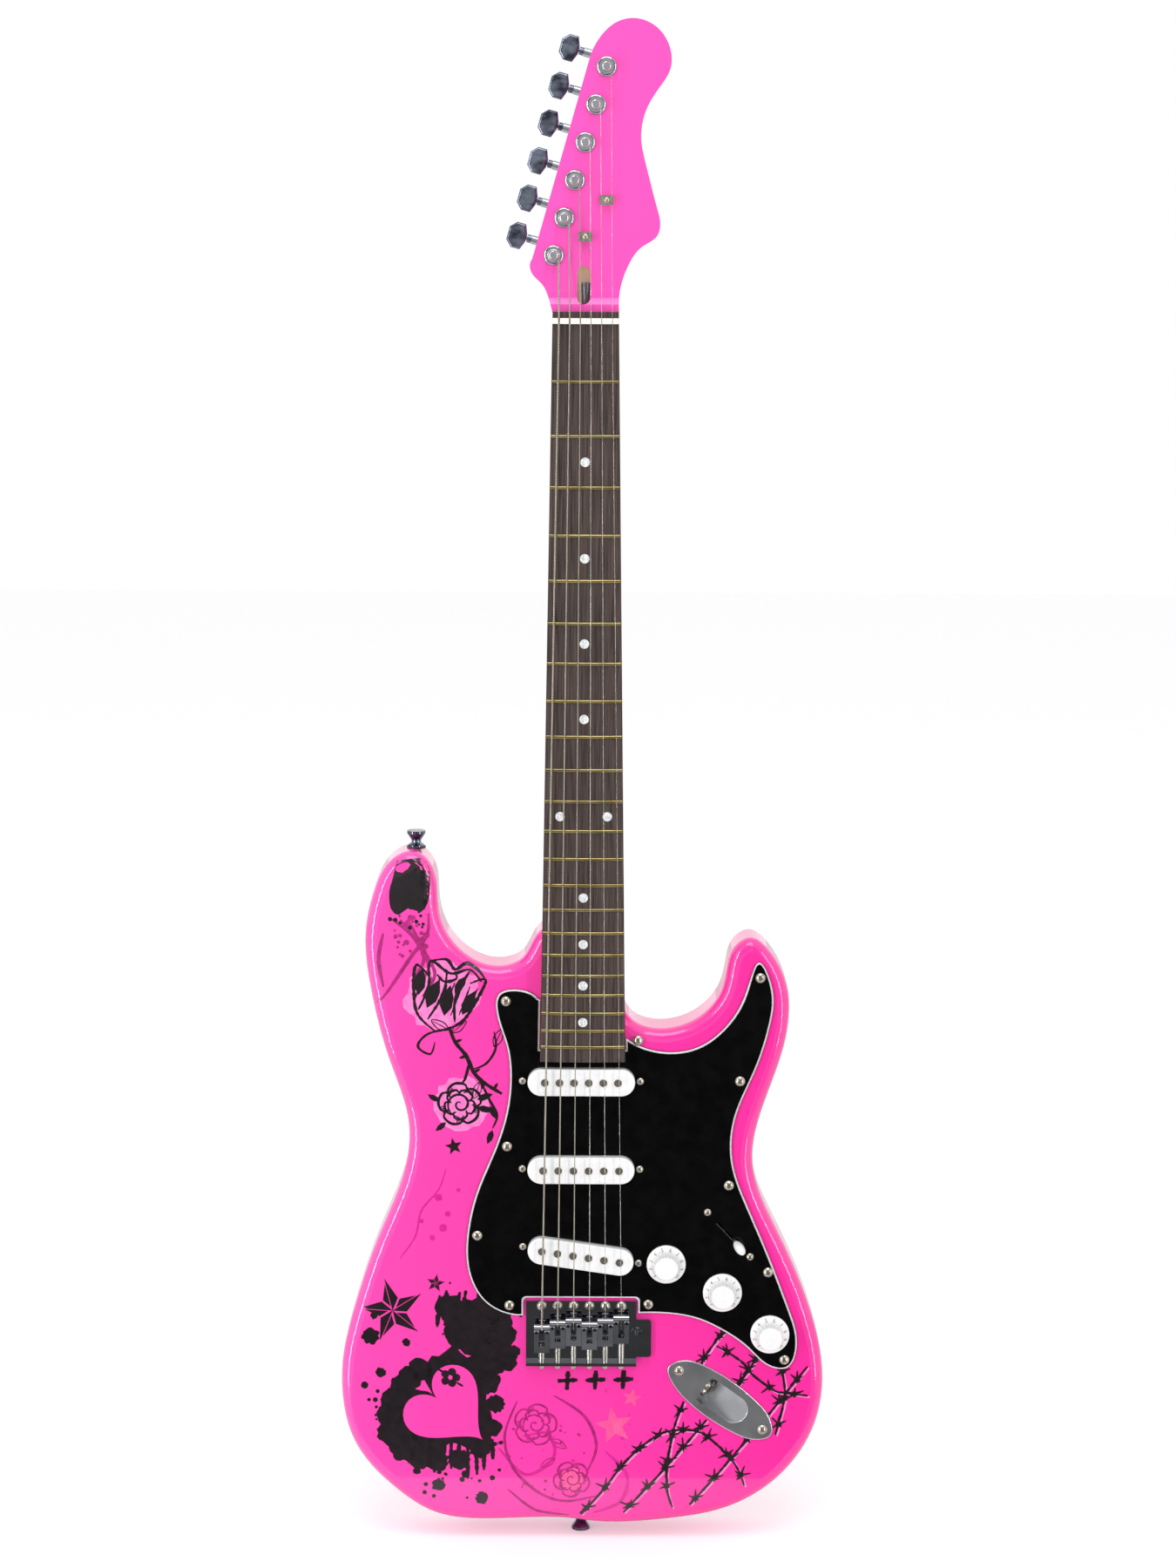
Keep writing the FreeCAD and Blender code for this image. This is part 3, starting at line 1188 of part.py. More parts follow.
def make_spring_set():
    claw_z = spring_top_z - 8.0
    claw = box(-27.0, 27.0, claw_y - 5.0, claw_y + 4.0, claw_z, claw_z + 1.6)
    for x in claw_screw_xs:
        claw = claw.cut(rod(V(x, claw_y, claw_z - 2), V(x, claw_y, claw_z + 4), 2.1))
    screws = []
    springs = []
    for x in claw_screw_xs:
        shank = rod(V(x, claw_y, claw_z), V(x, claw_y, spring_top_z + 22.0), wood_screw_radius)
        head = rod(V(x, claw_y, claw_z - 2.4), V(x, claw_y, claw_z), 3.8)
        screws.append(shank.fuse(head))
    for x in spring_positions:
        y = face_y + block_length - 3.6
        claw_hook = rod(V(x, y, claw_z - 5.0), V(x, y, claw_z - 0.05), 0.7)
        block_hook = rod(V(x, y, block_front_z + 0.2), V(x, y, block_front_z + 4.0), 0.7)
        coil = rod(V(x, y, block_front_z + 4.0), V(x, y, claw_z - 5.0), spring_radius)
        springs.append(coil.multiFuse([claw_hook, block_hook]))
    return claw, screws, springs


def make_pivot_screws():
    screws = []
    for index, x in enumerate(saddle_xs):
        screw = dome_screw(3.4, 2.0, wood_screw_radius, 23.2)
        screws.append(set_at(screw, x, pivot_z, 10.0 + 29.0 * index, plate_top_y - 0.7))
    return screws


def make_back_fittings():
    low = block_front_z - block_width - 17.5
    cover = box(-46.0, 46.0, back_y, back_y + cover_thickness, low, spring_top_z + 9.0)
    cover = cover.makeFillet(5.0, [e for e in cover.Edges if e.BoundBox.YLength > 1])
    slot = set_at(stadium(62.0, 12.0, back_y - 1, back_y + 4), 0.0, string_hole_z)
    holes = [pin(x, z, back_y - 1, back_y + 4, plate_screw_radius + 0.05) for x, z in cover_screw_places()]
    cover = cut_all(cover, holes + [slot])
    half = neck_plate_width / 2.0
    tall = neck_plate_height / 2.0
    sheet = box(neck_plate_x - half, neck_plate_x + half, back_y, back_y + neck_plate_thickness,
                neck_plate_z - tall, neck_plate_z + tall)
    sheet = sheet.makeFillet(3.0, [e for e in sheet.Edges if e.BoundBox.YLength > 1])
    screws = []
    for x, z in neck_screw_places():
        sheet = sheet.cut(pin(x, z, back_y - 1, back_y + 4, 2.05))
        length = back_y + neck_plate_thickness - pocket_floor_y + 14.0
        screw = flipped(dome_screw(4.2, 2.4, 2.0, length))
        screws.append(set_at(screw, x, z, 45.0, back_y + neck_plate_thickness))
    return cover, sheet, screws


def make_truss_rod():
    bar = rod(V(0, rod_y, rod_low_z + 0.5), V(0, rod_y, scoop_mouth_z - 4.0), rod_radius)
    nut = rod(V(0, rod_y, scoop_mouth_z - 4.0), V(0, rod_y, scoop_mouth_z + 1.5), rod_radius + 0.35)
    key = rod(V(0, rod_y, scoop_mouth_z - 1.0), V(0, rod_y, scoop_mouth_z + 3.0), 1.5)
    return bar.fuse(nut).cut(key)


# Build and save every sub-part
save("body", [make_body()])
save("neck", [make_neck()])
fretboard, dots = make_fretboard()
save("fretboard", [fretboard])
save("position_dots", dots)
save("frets", make_frets())
save("nut", [make_nut()])
save("truss_rod", [make_truss_rod()])

plies = make_guard()
save("pickguard_black", [plies[0], plies[2]])
save("pickguard_core", [plies[1]])
covers, poles, coils, height_screws, height_tubes = make_pickups()
save("pickup_covers", covers)
save("pickup_poles", poles)
save("pickup_coils", coils)
save("pickup_screws", height_screws)
save("pickup_tubes", height_tubes)
save("plate_screws", make_plate_screws())

knobs, pots, pot_nuts = make_controls()
for name, pieces in zip(("knob_volume", "knob_tone_neck", "knob_tone_middle"), knobs):
    save(name, pieces)
save("pots", pots)
save("pot_nuts", pot_nuts)
switch_frame, switch_screws, lever, lever_tip = make_switch()
save("switch_frame", [switch_frame])
save("switch_screws", switch_screws)
save("switch_lever", [lever])
save("switch_tip", [lever_tip])

jack_plate, jack_socket = make_jack()
save("jack_plate", [jack_plate])
save("jack_socket", [jack_socket])
strap_buttons, strap_screws, strap_felts = make_strap_fittings()
save("strap_buttons", strap_buttons)
save("strap_felts", strap_felts)

housings = []
bushings = []
for index in range(string_count):
    x, z = post_place(index)
    button, post, turns, housing, bushing = make_tuner(index)
    save("tuner_button_" + str(index + 1), [set_at(button, x, z, head_lean)])
    save("tuner_post_" + str(index + 1), [set_at(piece, x, z, head_lean) for piece in [post] + turns])
    housings.append(set_at(housing, x, z, head_lean))
    bushings.append(set_at(bushing, x, z))
save("tuner_housings", housings)
save("tuner_bushings", bushings)
trees, head_screws = make_trees()
save("string_trees", trees)
save("head_screws", head_screws)

plate_set, block_set = make_bridge()
save("bridge_plate", plate_set)
save("bridge_block", block_set)
saddles = [make_saddle(index) for index in range(string_count)]
save("saddles", [saddle for saddle, _, _, _ in saddles])
save("saddle_screws", [screw for _, screws, _, _ in saddles for screw in screws])
save("intonation_screws", [bolt for _, _, bolt, _ in saddles])
save("saddle_springs", [spring for _, _, _, spring in saddles])
save("string_tails", [string_tail(index) for index in range(string_count)])
save("pivot_screws", make_pivot_screws())

claw, claw_screws, tremolo_springs = make_spring_set()
cavity_cover, neck_plate, neck_screws = make_back_fittings()
save("spring_claw", [claw])
save("tremolo_springs", tremolo_springs)
save("back_cover", [cavity_cover])
save("neck_plate", [neck_plate])
save("wood_screws", strap_screws + neck_screws + claw_screws)
strings = [string_run(index) for index in range(string_count)]
save("strings_wound", strings[:wound_count])
save("strings_plain", strings[wound_count:])
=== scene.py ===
import math
import random

import bmesh
import bpy
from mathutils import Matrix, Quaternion, Vector
from mathutils.bvhtree import BVHTree
from mathutils.geometry import tessellate_polygon


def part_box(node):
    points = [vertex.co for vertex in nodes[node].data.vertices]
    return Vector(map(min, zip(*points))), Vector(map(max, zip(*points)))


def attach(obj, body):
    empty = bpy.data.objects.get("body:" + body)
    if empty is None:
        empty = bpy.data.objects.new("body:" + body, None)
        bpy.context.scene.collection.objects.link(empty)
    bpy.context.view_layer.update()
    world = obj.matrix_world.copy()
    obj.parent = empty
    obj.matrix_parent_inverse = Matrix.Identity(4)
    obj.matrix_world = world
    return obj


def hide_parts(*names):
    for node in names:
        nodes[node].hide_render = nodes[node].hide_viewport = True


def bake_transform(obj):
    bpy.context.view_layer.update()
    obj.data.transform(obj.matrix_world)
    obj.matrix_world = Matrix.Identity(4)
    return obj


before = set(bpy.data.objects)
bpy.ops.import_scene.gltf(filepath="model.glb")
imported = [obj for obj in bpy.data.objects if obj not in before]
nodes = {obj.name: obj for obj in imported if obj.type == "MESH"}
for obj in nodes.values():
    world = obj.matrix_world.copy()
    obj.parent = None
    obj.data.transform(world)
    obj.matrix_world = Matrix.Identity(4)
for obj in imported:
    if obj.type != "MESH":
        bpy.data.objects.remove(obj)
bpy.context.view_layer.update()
scene = bpy.context.scene
nutHeight = 0.792  # m, from the zero of the decoration's heights up to the nut
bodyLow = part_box("nut")[0].z - nutHeight
print("frame loaded:", len(nodes), "nodes")


def hexColour(code):  # sRGB hex to linear
    parts = [int(code[i:i + 2], 16) / 255 for i in (1, 3, 5)]
    return [c / 12.92 if c <= 0.04045 else ((c + 0.055) / 1.055) ** 2.4 for c in parts] + [1.0]


def addNode(tree, kind, settings={}, links={}):
    made = tree.nodes.new(kind)
    for key, value in settings.items():
        if key == "stops":  # colour ramp stops as (place, hex)
            ramp = made.color_ramp.elements
            while len(ramp) < len(value):
                ramp.new(0.5)
            for element, (place, code) in zip(ramp, value):
                element.position = place
                element.color = hexColour(code)
        elif isinstance(key, int) or key in made.inputs:
            made.inputs[key].default_value = value
        else:
            setattr(made, key, value)
    for key, source in links.items():
        socket = source.outputs[0] if hasattr(source, "outputs") else source
        tree.links.new(socket, made.inputs[key])
    return made


def startMaterial(name, values):
    material = bpy.data.materials.new(name)
    material.use_nodes = True
    tree = material.node_tree
    shader = tree.nodes["Principled BSDF"]
    for key, value in values.items():
        shader.inputs[key].default_value = value
    return material, tree, shader


def surface(name, light, dark, grain, stretch=(1, 1, 1), rough=(0.2, 0.3), bump=0.02, relief=0.3,
            spread=(0.35, 0.65), detail=4, **values):
    material, tree, shader = startMaterial(name, values)
    place = addNode(tree, "ShaderNodeTexCoord").outputs["Object"]
    grid = addNode(tree, "ShaderNodeMapping", {"Scale": [1000 / (grain * s) for s in stretch]},
                   {"Vector": place})
    cloud = addNode(tree, "ShaderNodeTexNoise", {"Scale": 1, "Detail": detail}, {"Vector": grid})
    tint = addNode(tree, "ShaderNodeValToRGB", {"stops": [(spread[0], dark), (spread[1], light)]},
                   {"Fac": cloud.outputs["Fac"]})
    gloss = addNode(tree, "ShaderNodeMapRange", {"To Min": rough[0], "To Max": rough[1]},
                    {"Value": cloud.outputs["Fac"]})
    relieved = addNode(tree, "ShaderNodeBump", {"Strength": relief, "Distance": bump / 1000},
                       {"Height": cloud.outputs["Fac"]})
    tree.links.new(tint.outputs[0], shader.inputs["Base Color"])
    tree.links.new(gloss.outputs[0], shader.inputs["Roughness"])
    tree.links.new(relieved.outputs[0], shader.inputs["Normal"])
    return material


# camera: a long lens a little above the middle, looking slightly down
cameraSettings = {"place": (0.0027, -2.3516, 0.8781), "target": (0.0027, -0.0305, 0.5105),
                  "lens": 84.1, "sensor": 36, "roll": 0.25}
cameraData = bpy.data.cameras.new("camera")
cameraData.sensor_fit = "VERTICAL"
cameraData.sensor_height = cameraSettings["sensor"]
cameraData.lens = cameraSettings["lens"]
camera = bpy.data.objects.new("camera", cameraData)
scene.collection.objects.link(camera)
camera.location = cameraSettings["place"]
aim = Vector(cameraSettings["target"]) - camera.location
turn = Quaternion((0, 0, 1), math.radians(cameraSettings["roll"]))
camera.rotation_mode = "QUATERNION"
camera.rotation_quaternion = aim.to_track_quat("-Z", "Y") @ turn
scene.camera = camera
scene.view_settings.view_transform = "Standard"

# soft boxes: a tall narrow one each side and a broad one above, all white
lampTarget = Vector((0, 0, 0.5))
lampSettings = {
    "leftBox": {"place": (-1.9, -1.6, 0.45), "size": (0.2, 2.4), "power": 24},
    "rightBox": {"place": (2.1, -1.9, 0.45), "size": (0.2, 2.4), "power": 18},
    "topBox": {"place": (0.0, -0.9, 2.3), "size": (1.6, 1.0), "power": 12},
}
for name, lamp in lampSettings.items():
    light = bpy.data.lights.new(name, "AREA")
    light.shape = "RECTANGLE"
    light.size, light.size_y = lamp["size"]
    light.energy = lamp["power"]
    holder = bpy.data.objects.new(name, light)
    scene.collection.objects.link(holder)
    holder.location = lamp["place"]
    holder.visible_camera = False
    holder.rotation_mode = "QUATERNION"
    holder.rotation_quaternion = (lampTarget - holder.location).to_track_quat("-Z", "Y")

# room: white to the eye, a plain level as light, and in reflections white behind and dim patches in
# front, so that chrome has darks; the floor ends just in front of the guitar for the same reason
roomSettings = {"seen": 1.0, "lighting": 0.72, "dim": (0.06, 0.6), "patches": 3.5,
                "patchSpread": (0.42, 0.6), "fade": (-0.92, -0.2),
                "floor": "#F6F6F6", "lift": 0.3, "half": 6.0, "front": -0.14}
world = bpy.data.worlds.new("room")
world.use_nodes = True
scene.world = world
tree = world.node_tree
rays = addNode(tree, "ShaderNodeLightPath")
mirrored = addNode(tree, "ShaderNodeMath", {"operation": "MAXIMUM"},
                   {0: rays.outputs["Is Glossy Ray"], 1: rays.outputs["Is Transmission Ray"]})
heading = addNode(tree, "ShaderNodeSeparateXYZ", {}, {0: addNode(tree, "ShaderNodeTexCoord").outputs[0]})
noise = addNode(tree, "ShaderNodeTexNoise", {"Scale": roomSettings["patches"], "Detail": 1})
patches = addNode(tree, "ShaderNodeMapRange", {
    "From Min": roomSettings["patchSpread"][0], "From Max": roomSettings["patchSpread"][1],
    "To Min": roomSettings["dim"][0], "To Max": roomSettings["dim"][1]}, {"Value": noise})
backdrop = addNode(tree, "ShaderNodeMapRange", {
    "interpolation_type": "SMOOTHSTEP", "From Min": roomSettings["fade"][0],
    "From Max": roomSettings["fade"][1], "To Max": roomSettings["seen"]},
    {"Value": heading.outputs["Y"], "To Min": patches})
level = addNode(tree, "ShaderNodeMix", {2: roomSettings["lighting"]}, {0: mirrored, 3: backdrop})
level = addNode(tree, "ShaderNodeMix", {3: roomSettings["seen"]},
                {0: rays.outputs["Is Camera Ray"], 2: level})
tree.links.new(level.outputs[0], tree.nodes["Background"].inputs["Strength"])
tree.nodes["Background"].inputs["Color"].default_value = hexColour("#FFFFFF")

# matt painted board: even and pale, with the guitar's soft shadow on it
material, tree, shader = startMaterial("mattPaintedBoard", {
    "Base Color": hexColour(roomSettings["floor"]), "Roughness": 0.9})
rays = addNode(tree, "ShaderNodeLightPath")
lift = addNode(tree, "ShaderNodeMath", {"operation": "MULTIPLY", 1: roomSettings["lift"]},
               {0: rays.outputs["Is Camera Ray"]})
tree.links.new(lift.outputs[0], shader.inputs["Emission Strength"])
shader.inputs["Emission Color"].default_value = hexColour("#FFFFFF")
half, front = roomSettings["half"], roomSettings["front"]
sheet = bpy.data.meshes.new("floor")
sheet.from_pydata([(-half, front, 0), (half, front, 0), (half, half, 0), (-half, half, 0)], [],
                  [(0, 1, 2, 3)])
floor = bpy.data.objects.new("floor", sheet)
scene.collection.objects.link(floor)
floor.data.materials.append(material)
print("camera, lamps and floor placed")

# polyester lacquer, sprayed and polished: a wet gloss over a slowly changing pink, with painted light:
# lighter on the left side of the body and deeper on the right
lacquerSettings = {"left": "#FF48B4", "right": "#FB259F", "head": "#FF55C4", "reach": (-0.16, 0.17),
                   "cloud": 60, "drift": 0.25, "peel": 1.6, "peelStrength": 0.05,
                   "rough": 0.22, "coat": 1.0, "coatRough": 0.035}


def lacquerColour(tree, place, left, right):
    axes = addNode(tree, "ShaderNodeSeparateXYZ", {}, {0: place})
    cloud = addNode(tree, "ShaderNodeTexNoise", {"Scale": 1000 / lacquerSettings["cloud"], "Detail": 2},
                    {"Vector": place})
    # painted light: the pink runs from the lighter left colour to the deeper right colour across the body
    across = addNode(tree, "ShaderNodeMapRange", {
        "From Min": lacquerSettings["reach"][0], "From Max": lacquerSettings["reach"][1]},
        {0: axes.outputs["X"]})
    shifted = addNode(tree, "ShaderNodeMath", {"operation": "MULTIPLY_ADD", 1: lacquerSettings["drift"]},
                      {0: cloud.outputs["Fac"], 2: across})
    return addNode(tree, "ShaderNodeValToRGB", {"stops": [(0.1, left), (1.0, right)]}, {0: shifted})


def lacquerPeel(tree, place):  # the faint orange peel that sprayed lacquer keeps
    waves = addNode(tree, "ShaderNodeTexNoise", {"Scale": 1000 / lacquerSettings["peel"], "Detail": 1},
                    {"Vector": place})
    return addNode(tree, "ShaderNodeBump", {"Strength": lacquerSettings["peelStrength"], "Distance": 0.0001},
                   {"Height": waves})


lacquer, tree, shader = startMaterial("pinkPolyesterLacquerPolished", {
    "Roughness": lacquerSettings["rough"], "IOR": 1.5, "Coat Weight": lacquerSettings["coat"],
    "Coat Roughness": lacquerSettings["coatRough"], "Coat IOR": 1.5})
place = addNode(tree, "ShaderNodeTexCoord").outputs["Object"]
tint = lacquerColour(tree, place, lacquerSettings["left"], lacquerSettings["right"])
tree.links.new(tint.outputs[0], shader.inputs["Base Color"])
tree.links.new(lacquerPeel(tree, place).outputs[0], shader.inputs["Normal"])

# maple neck: satin shaft with fine long grain, lacquered headstock, bare wood in the truss scoop painted
# paler than the maple as painted light in the shaded recess
neckSettings = {"maple": ("#EBCB9E", "#D2A972"), "bareWoodPaintedLight": "#F6DCC2", "grain": 1.4, "along": 70,
                "join": (-0.0005, 0.0015), "satin": 0.42, "gloss": 0.22, "ridges": 0.08, "headFace": -0.021,
                "scoopHalf": 0.0058, "scoopDepth": (0.0004, 0.010), "scoopReach": 0.045}
neckMaterial, tree, shader = startMaterial("mapleSatinNeckLacqueredHead", {
    "IOR": 1.5, "Coat Weight": 0.6, "Coat Roughness": 0.06})
place = addNode(tree, "ShaderNodeTexCoord").outputs["Object"]
axes = addNode(tree, "ShaderNodeSeparateXYZ", {}, {0: place})
fibre = addNode(tree, "ShaderNodeMapping", {
    "Scale": [1000 / neckSettings["grain"]] * 2 + [1000 / neckSettings["along"]]}, {"Vector": place})
grain = addNode(tree, "ShaderNodeTexNoise", {"Scale": 1, "Detail": 5}, {"Vector": fibre})
maple = addNode(tree, "ShaderNodeValToRGB", {
    "stops": [(0.3, neckSettings["maple"][1]), (0.7, neckSettings["maple"][0])]}, {0: grain})
# painted light: inside the truss scoop the wood takes the paler bare colour, lifting the recess's shade
wood = addNode(tree, "ShaderNodeMix", {"data_type": "RGBA", 7: hexColour(neckSettings["bareWoodPaintedLight"])}, {6: maple})
# the head's pink carries the same painted light, lighter towards the left
pink = lacquerColour(tree, place, lacquerSettings["head"], lacquerSettings["left"])
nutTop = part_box("nut")[1].z
headFace = neckSettings["headFace"]
onHead = addNode(tree, "ShaderNodeMapRange", {
    "From Min": nutTop + neckSettings["join"][0], "From Max": nutTop + neckSettings["join"][1]},
    {0: axes.outputs["Z"]})
tests = [("X", "GREATER_THAN", -neckSettings["scoopHalf"]), ("X", "LESS_THAN", neckSettings["scoopHalf"]),
         ("Y", "GREATER_THAN", headFace + neckSettings["scoopDepth"][0]),
         ("Y", "LESS_THAN", headFace + neckSettings["scoopDepth"][1]),
         ("Z", "LESS_THAN", nutTop + neckSettings["scoopReach"])]
inScoop = None
for axis, rule, limit in tests:
    test = addNode(tree, "ShaderNodeMath", {"operation": rule, 1: limit}, {0: axes.outputs[axis]})
    inScoop = test if inScoop is None else addNode(
        tree, "ShaderNodeMath", {"operation": "MULTIPLY"}, {0: inScoop, 1: test})
painted = addNode(tree, "ShaderNodeMath", {"operation": "SUBTRACT", "use_clamp": True},
                  {0: onHead, 1: inScoop})
tree.links.new(inScoop.outputs[0], wood.inputs[0])
mixed = addNode(tree, "ShaderNodeMix", {"data_type": "RGBA"}, {0: painted, 6: wood.outputs[2], 7: pink})
gloss = addNode(tree, "ShaderNodeMapRange", {
    "To Min": neckSettings["satin"], "To Max": neckSettings["gloss"]}, {0: painted})
ridges = addNode(tree, "ShaderNodeBump", {"Strength": neckSettings["ridges"], "Distance": 0.0001},
                 {"Height": grain})
tree.links.new(mixed.outputs[2], shader.inputs["Base Color"])
tree.links.new(gloss.outputs[0], shader.inputs["Roughness"])
tree.links.new(ridges.outputs[0], shader.inputs["Normal"])

# rosewood, planed and oiled: grey brown with dark open pores drawn out along the board
rosewood = surface("rosewoodOiled", "#5C4B45", "#251B1A", 0.75, (1, 1, 42), (0.38, 0.6), 0.12, 0.5,
                   (0.3, 0.72), 6, IOR=1.5)
# nickel silver, drawn and polished: warm, slightly brassy metal
fretWire = surface("nickelSilverDrawn", "#B9A976", "#8A7B4E", 2.0, (9, 1, 1), (0.18, 0.3), 0.01,
                   Metallic=1.0)
# cast urea nut: dense white with a soft gloss
nutPlastic = surface("ureaNutPolished", "#F6F4EE", "#E9E6DC", 3.0, (1, 1, 1), (0.25, 0.35), IOR=1.55)
# pearl acrylic, cut from sheet: cloudy white that shifts in patches
pearl = surface("pearlAcrylicSheet", "#FFFFFF", "#C9CDD0", 1.6, (1, 1, 1), (0.1, 0.2), 0.01,
                IOR=1.49, **{"Coat Weight": 0.8, "Coat Roughness": 0.05})
# three-ply vinyl, pressed and buffed: deep black with hair-fine rub marks, pale core at the bevel
guardBlack = surface("vinylBlackPressed", "#0A0A0B", "#050506", 9.0, (1, 1, 1), (0.1, 0.13), 0.001,
                     0.05, IOR=1.5, **{"Specular IOR Level": 0.2})
guardWhite = surface("vinylWhiteCore", "#F4F2F4", "#E6E3E6", 2.0, (1, 1, 1), (0.3, 0.4), IOR=1.5)
# ABS, moulded: clean white with a soft moulded gloss
whiteAbs = surface("absWhiteMoulded", "#F7F7F7", "#F1F1F2", 5.0, (1, 1, 1), (0.22, 0.32), 0.002, 0.1,
                   IOR=1.53, **{"Coat Weight": 0.3, "Coat Roughness": 0.1})
# chrome plate, buffed: a clear mirror, very slightly uneven
chrome = surface("chromePlateBuffed", "#BEC0C6", "#B4B6BC", 30.0, (1, 1, 0.3), (0.05, 0.08), 0.0,
                 0.05, Metallic=1.0)
# chrome plate over stamped sheet, softer: it gathers the light from all sides into pale grey
softChrome = surface("chromePlateOnStampedSteel", "#DADBDF", "#CBCDD2", 20.0, (1, 1, 1), (0.2, 0.28),
                     0.001, 0.05, Metallic=1.0)
# chrome of cast buttons, polished, with painted reflections: blotches of blue-black in its colour stand in
# for the dark room it mirrors
chromeWithPaintedReflections = surface("chromePlateOnZincCastPaintedReflections", "#8E95A6", "#3E424F", 9.0, (1, 1, 0.6), (0.05, 0.1),
                     0.002, 0.1, Metallic=1.0)
# nickel plate over turned steel: warm silver with turning marks
nickel = surface("nickelPlateTurned", "#D6D0C4", "#A49C8C", 0.8, (1, 1, 4), (0.18, 0.3), 0.01, 0.3,
                 Metallic=1.0)
# zinc plate on rolled steel: cool grey, softer mirror
zincSteel = surface("zincPlatedSteelRolled", "#B9BCC2", "#83868C", 1.8, (1, 1, 3), (0.25, 0.4), 0.02,
                    0.3, Metallic=1.0)
# zinc alloy, die cast: dull grey with a fine cast skin
castZinc = surface("zincDieCast", "#7F8288", "#5C5F65", 0.9, (1, 1, 1), (0.35, 0.5), 0.05, 0.5,
                   Metallic=1.0)
# plain string steel, drawn: bright thin lines
plainSteel = surface("musicWireDrawn", "#D8D6D0", "#A9A69E", 2.0, (1, 1, 20), (0.15, 0.25), 0.005,
                     Metallic=1.0)
# enamelled copper wire, wound and waxed: dark brown rows
coilWire = surface("enamelledCopperWound", "#5A2C18", "#22100A", 0.5, (60, 1, 60), (0.3, 0.45), 0.1,
                   0.8, IOR=1.5)
# pressed wool felt: matt, fuzzy black
felt = surface("woolFeltPressed", "#232224", "#0C0B0D", 0.6, (1, 1, 1), (0.85, 1.0), 0.3, 1.0,
               **{"Sheen Weight": 0.5})
# brass, hot stamped foil: thin warm gold numerals
goldFoil = surface("brassFoilStamped", "#94733A", "#6E5426", 1.0, (1, 1, 1), (0.3, 0.4), 0.005,
                   Metallic=0.3)

# wound bass strings: nickel wrap drawn about four times too coarse so that it shows, with painted shade in
# the valleys between the wraps and painted highlights on their crests
woundSettings = {"pitch": 1.2, "rough": 0.28, "relief": 0.6, "valleyPaintedShade": "#7E7A70", "crestPaintedHighlight": "#CFC9BB"}
wound, tree, shader = startMaterial("nickelWrapWound", {
    "Metallic": 1.0, "Roughness": woundSettings["rough"]})
place = addNode(tree, "ShaderNodeTexCoord").outputs["Object"]
axes = addNode(tree, "ShaderNodeSeparateXYZ", {}, {0: place})
phase = addNode(tree, "ShaderNodeMath", {
    "operation": "MULTIPLY", 1: 2 * math.pi * 1000 / woundSettings["pitch"]}, {0: axes.outputs["Z"]})
wave = addNode(tree, "ShaderNodeMath", {"operation": "SINE"}, {0: phase})
wrapShadeAndHighlight = addNode(tree, "ShaderNodeMapRange", {"From Min": -1.0}, {0: wave})
# painted shade and highlight: the colour darkens in the valleys and lightens on the crests of the wraps
tint = addNode(tree, "ShaderNodeValToRGB", {
    "stops": [(0.1, woundSettings["valleyPaintedShade"]), (0.8, woundSettings["crestPaintedHighlight"])]}, {0: wrapShadeAndHighlight})
wraps = addNode(tree, "ShaderNodeBump", {"Strength": woundSettings["relief"], "Distance": 0.0001},
                {"Height": wave})
tree.links.new(tint.outputs[0], shader.inputs["Base Color"])
tree.links.new(wraps.outputs[0], shader.inputs["Normal"])

finishes = {
    "body": lacquer, "neck": neckMaterial, "fretboard": rosewood, "position_dots": pearl,
    "frets": fretWire, "nut": nutPlastic, "truss_rod": castZinc, "pickguard_black": guardBlack,
    "pickguard_core": guardWhite, "pickup_covers": whiteAbs, "pickup_poles": nickel,
    "pickup_coils": coilWire, "pickup_screws": nickel, "pickup_tubes": felt, "plate_screws": nickel,
    "knob_volume": whiteAbs, "knob_tone_neck": whiteAbs, "knob_tone_middle": whiteAbs,
    "pots": zincSteel, "pot_nuts": zincSteel, "switch_frame": zincSteel, "switch_screws": nickel,
    "switch_lever": zincSteel, "switch_tip": whiteAbs, "jack_plate": softChrome, "jack_socket": nickel,
    "strap_buttons": chromeWithPaintedReflections, "strap_felts": felt, "tuner_housings": chrome,
    "tuner_bushings": chrome, "string_trees": nickel, "head_screws": nickel, "bridge_plate": chrome,
    "bridge_block": castZinc, "saddles": chrome, "saddle_screws": chromeWithPaintedReflections,
    "intonation_screws": nickel, "saddle_springs": plainSteel, "string_tails": plainSteel,
    "pivot_screws": nickel, "spring_claw": zincSteel, "tremolo_springs": plainSteel,
    "back_cover": guardBlack, "neck_plate": chrome, "wood_screws": nickel,
    "strings_wound": wound, "strings_plain": plainSteel,
}
for number in range(1, 7):
    finishes["tuner_button_" + str(number)] = chromeWithPaintedReflections
    finishes["tuner_post_" + str(number)] = softChrome
for name, piece in nodes.items():
    for slotIndex in range(len(piece.material_slots)):
        piece.material_slots[slotIndex].material = finishes[name]
print("finishes set on", len(finishes), "nodes")


def treeOf(name):
    mesh = nodes[name].data
    return BVHTree.FromPolygons([v.co[:] for v in mesh.vertices], [p.vertices[:] for p in mesh.polygons])


layFrom = -0.2  # m, in front of every piece


def layOn(bm, target, lift, deepest):  # drops flat ink onto the surface behind it, facing the front
    missed = []
    for vert in bm.verts:
        hit = target.ray_cast(Vector((vert.co.x, layFrom, vert.co.z)), Vector((0, 1, 0)))[0]
        if hit is None or hit.y > deepest:
            missed.append(vert)
        else:
            vert.co.y = hit.y - lift - vert.co.y
    bmesh.ops.delete(bm, geom=missed, context="VERTS")
    bm.normal_update()
    for face in bm.faces:
        if face.normal.y > 0:
            face.normal_flip()


def addPiece(name, bm, material):
    mesh = bpy.data.meshes.new(name)
    bm.to_mesh(mesh)
    bm.free()
    mesh.materials.append(material)
    piece = bpy.data.objects.new(name, mesh)
    scene.collection.objects.link(piece)
    return piece


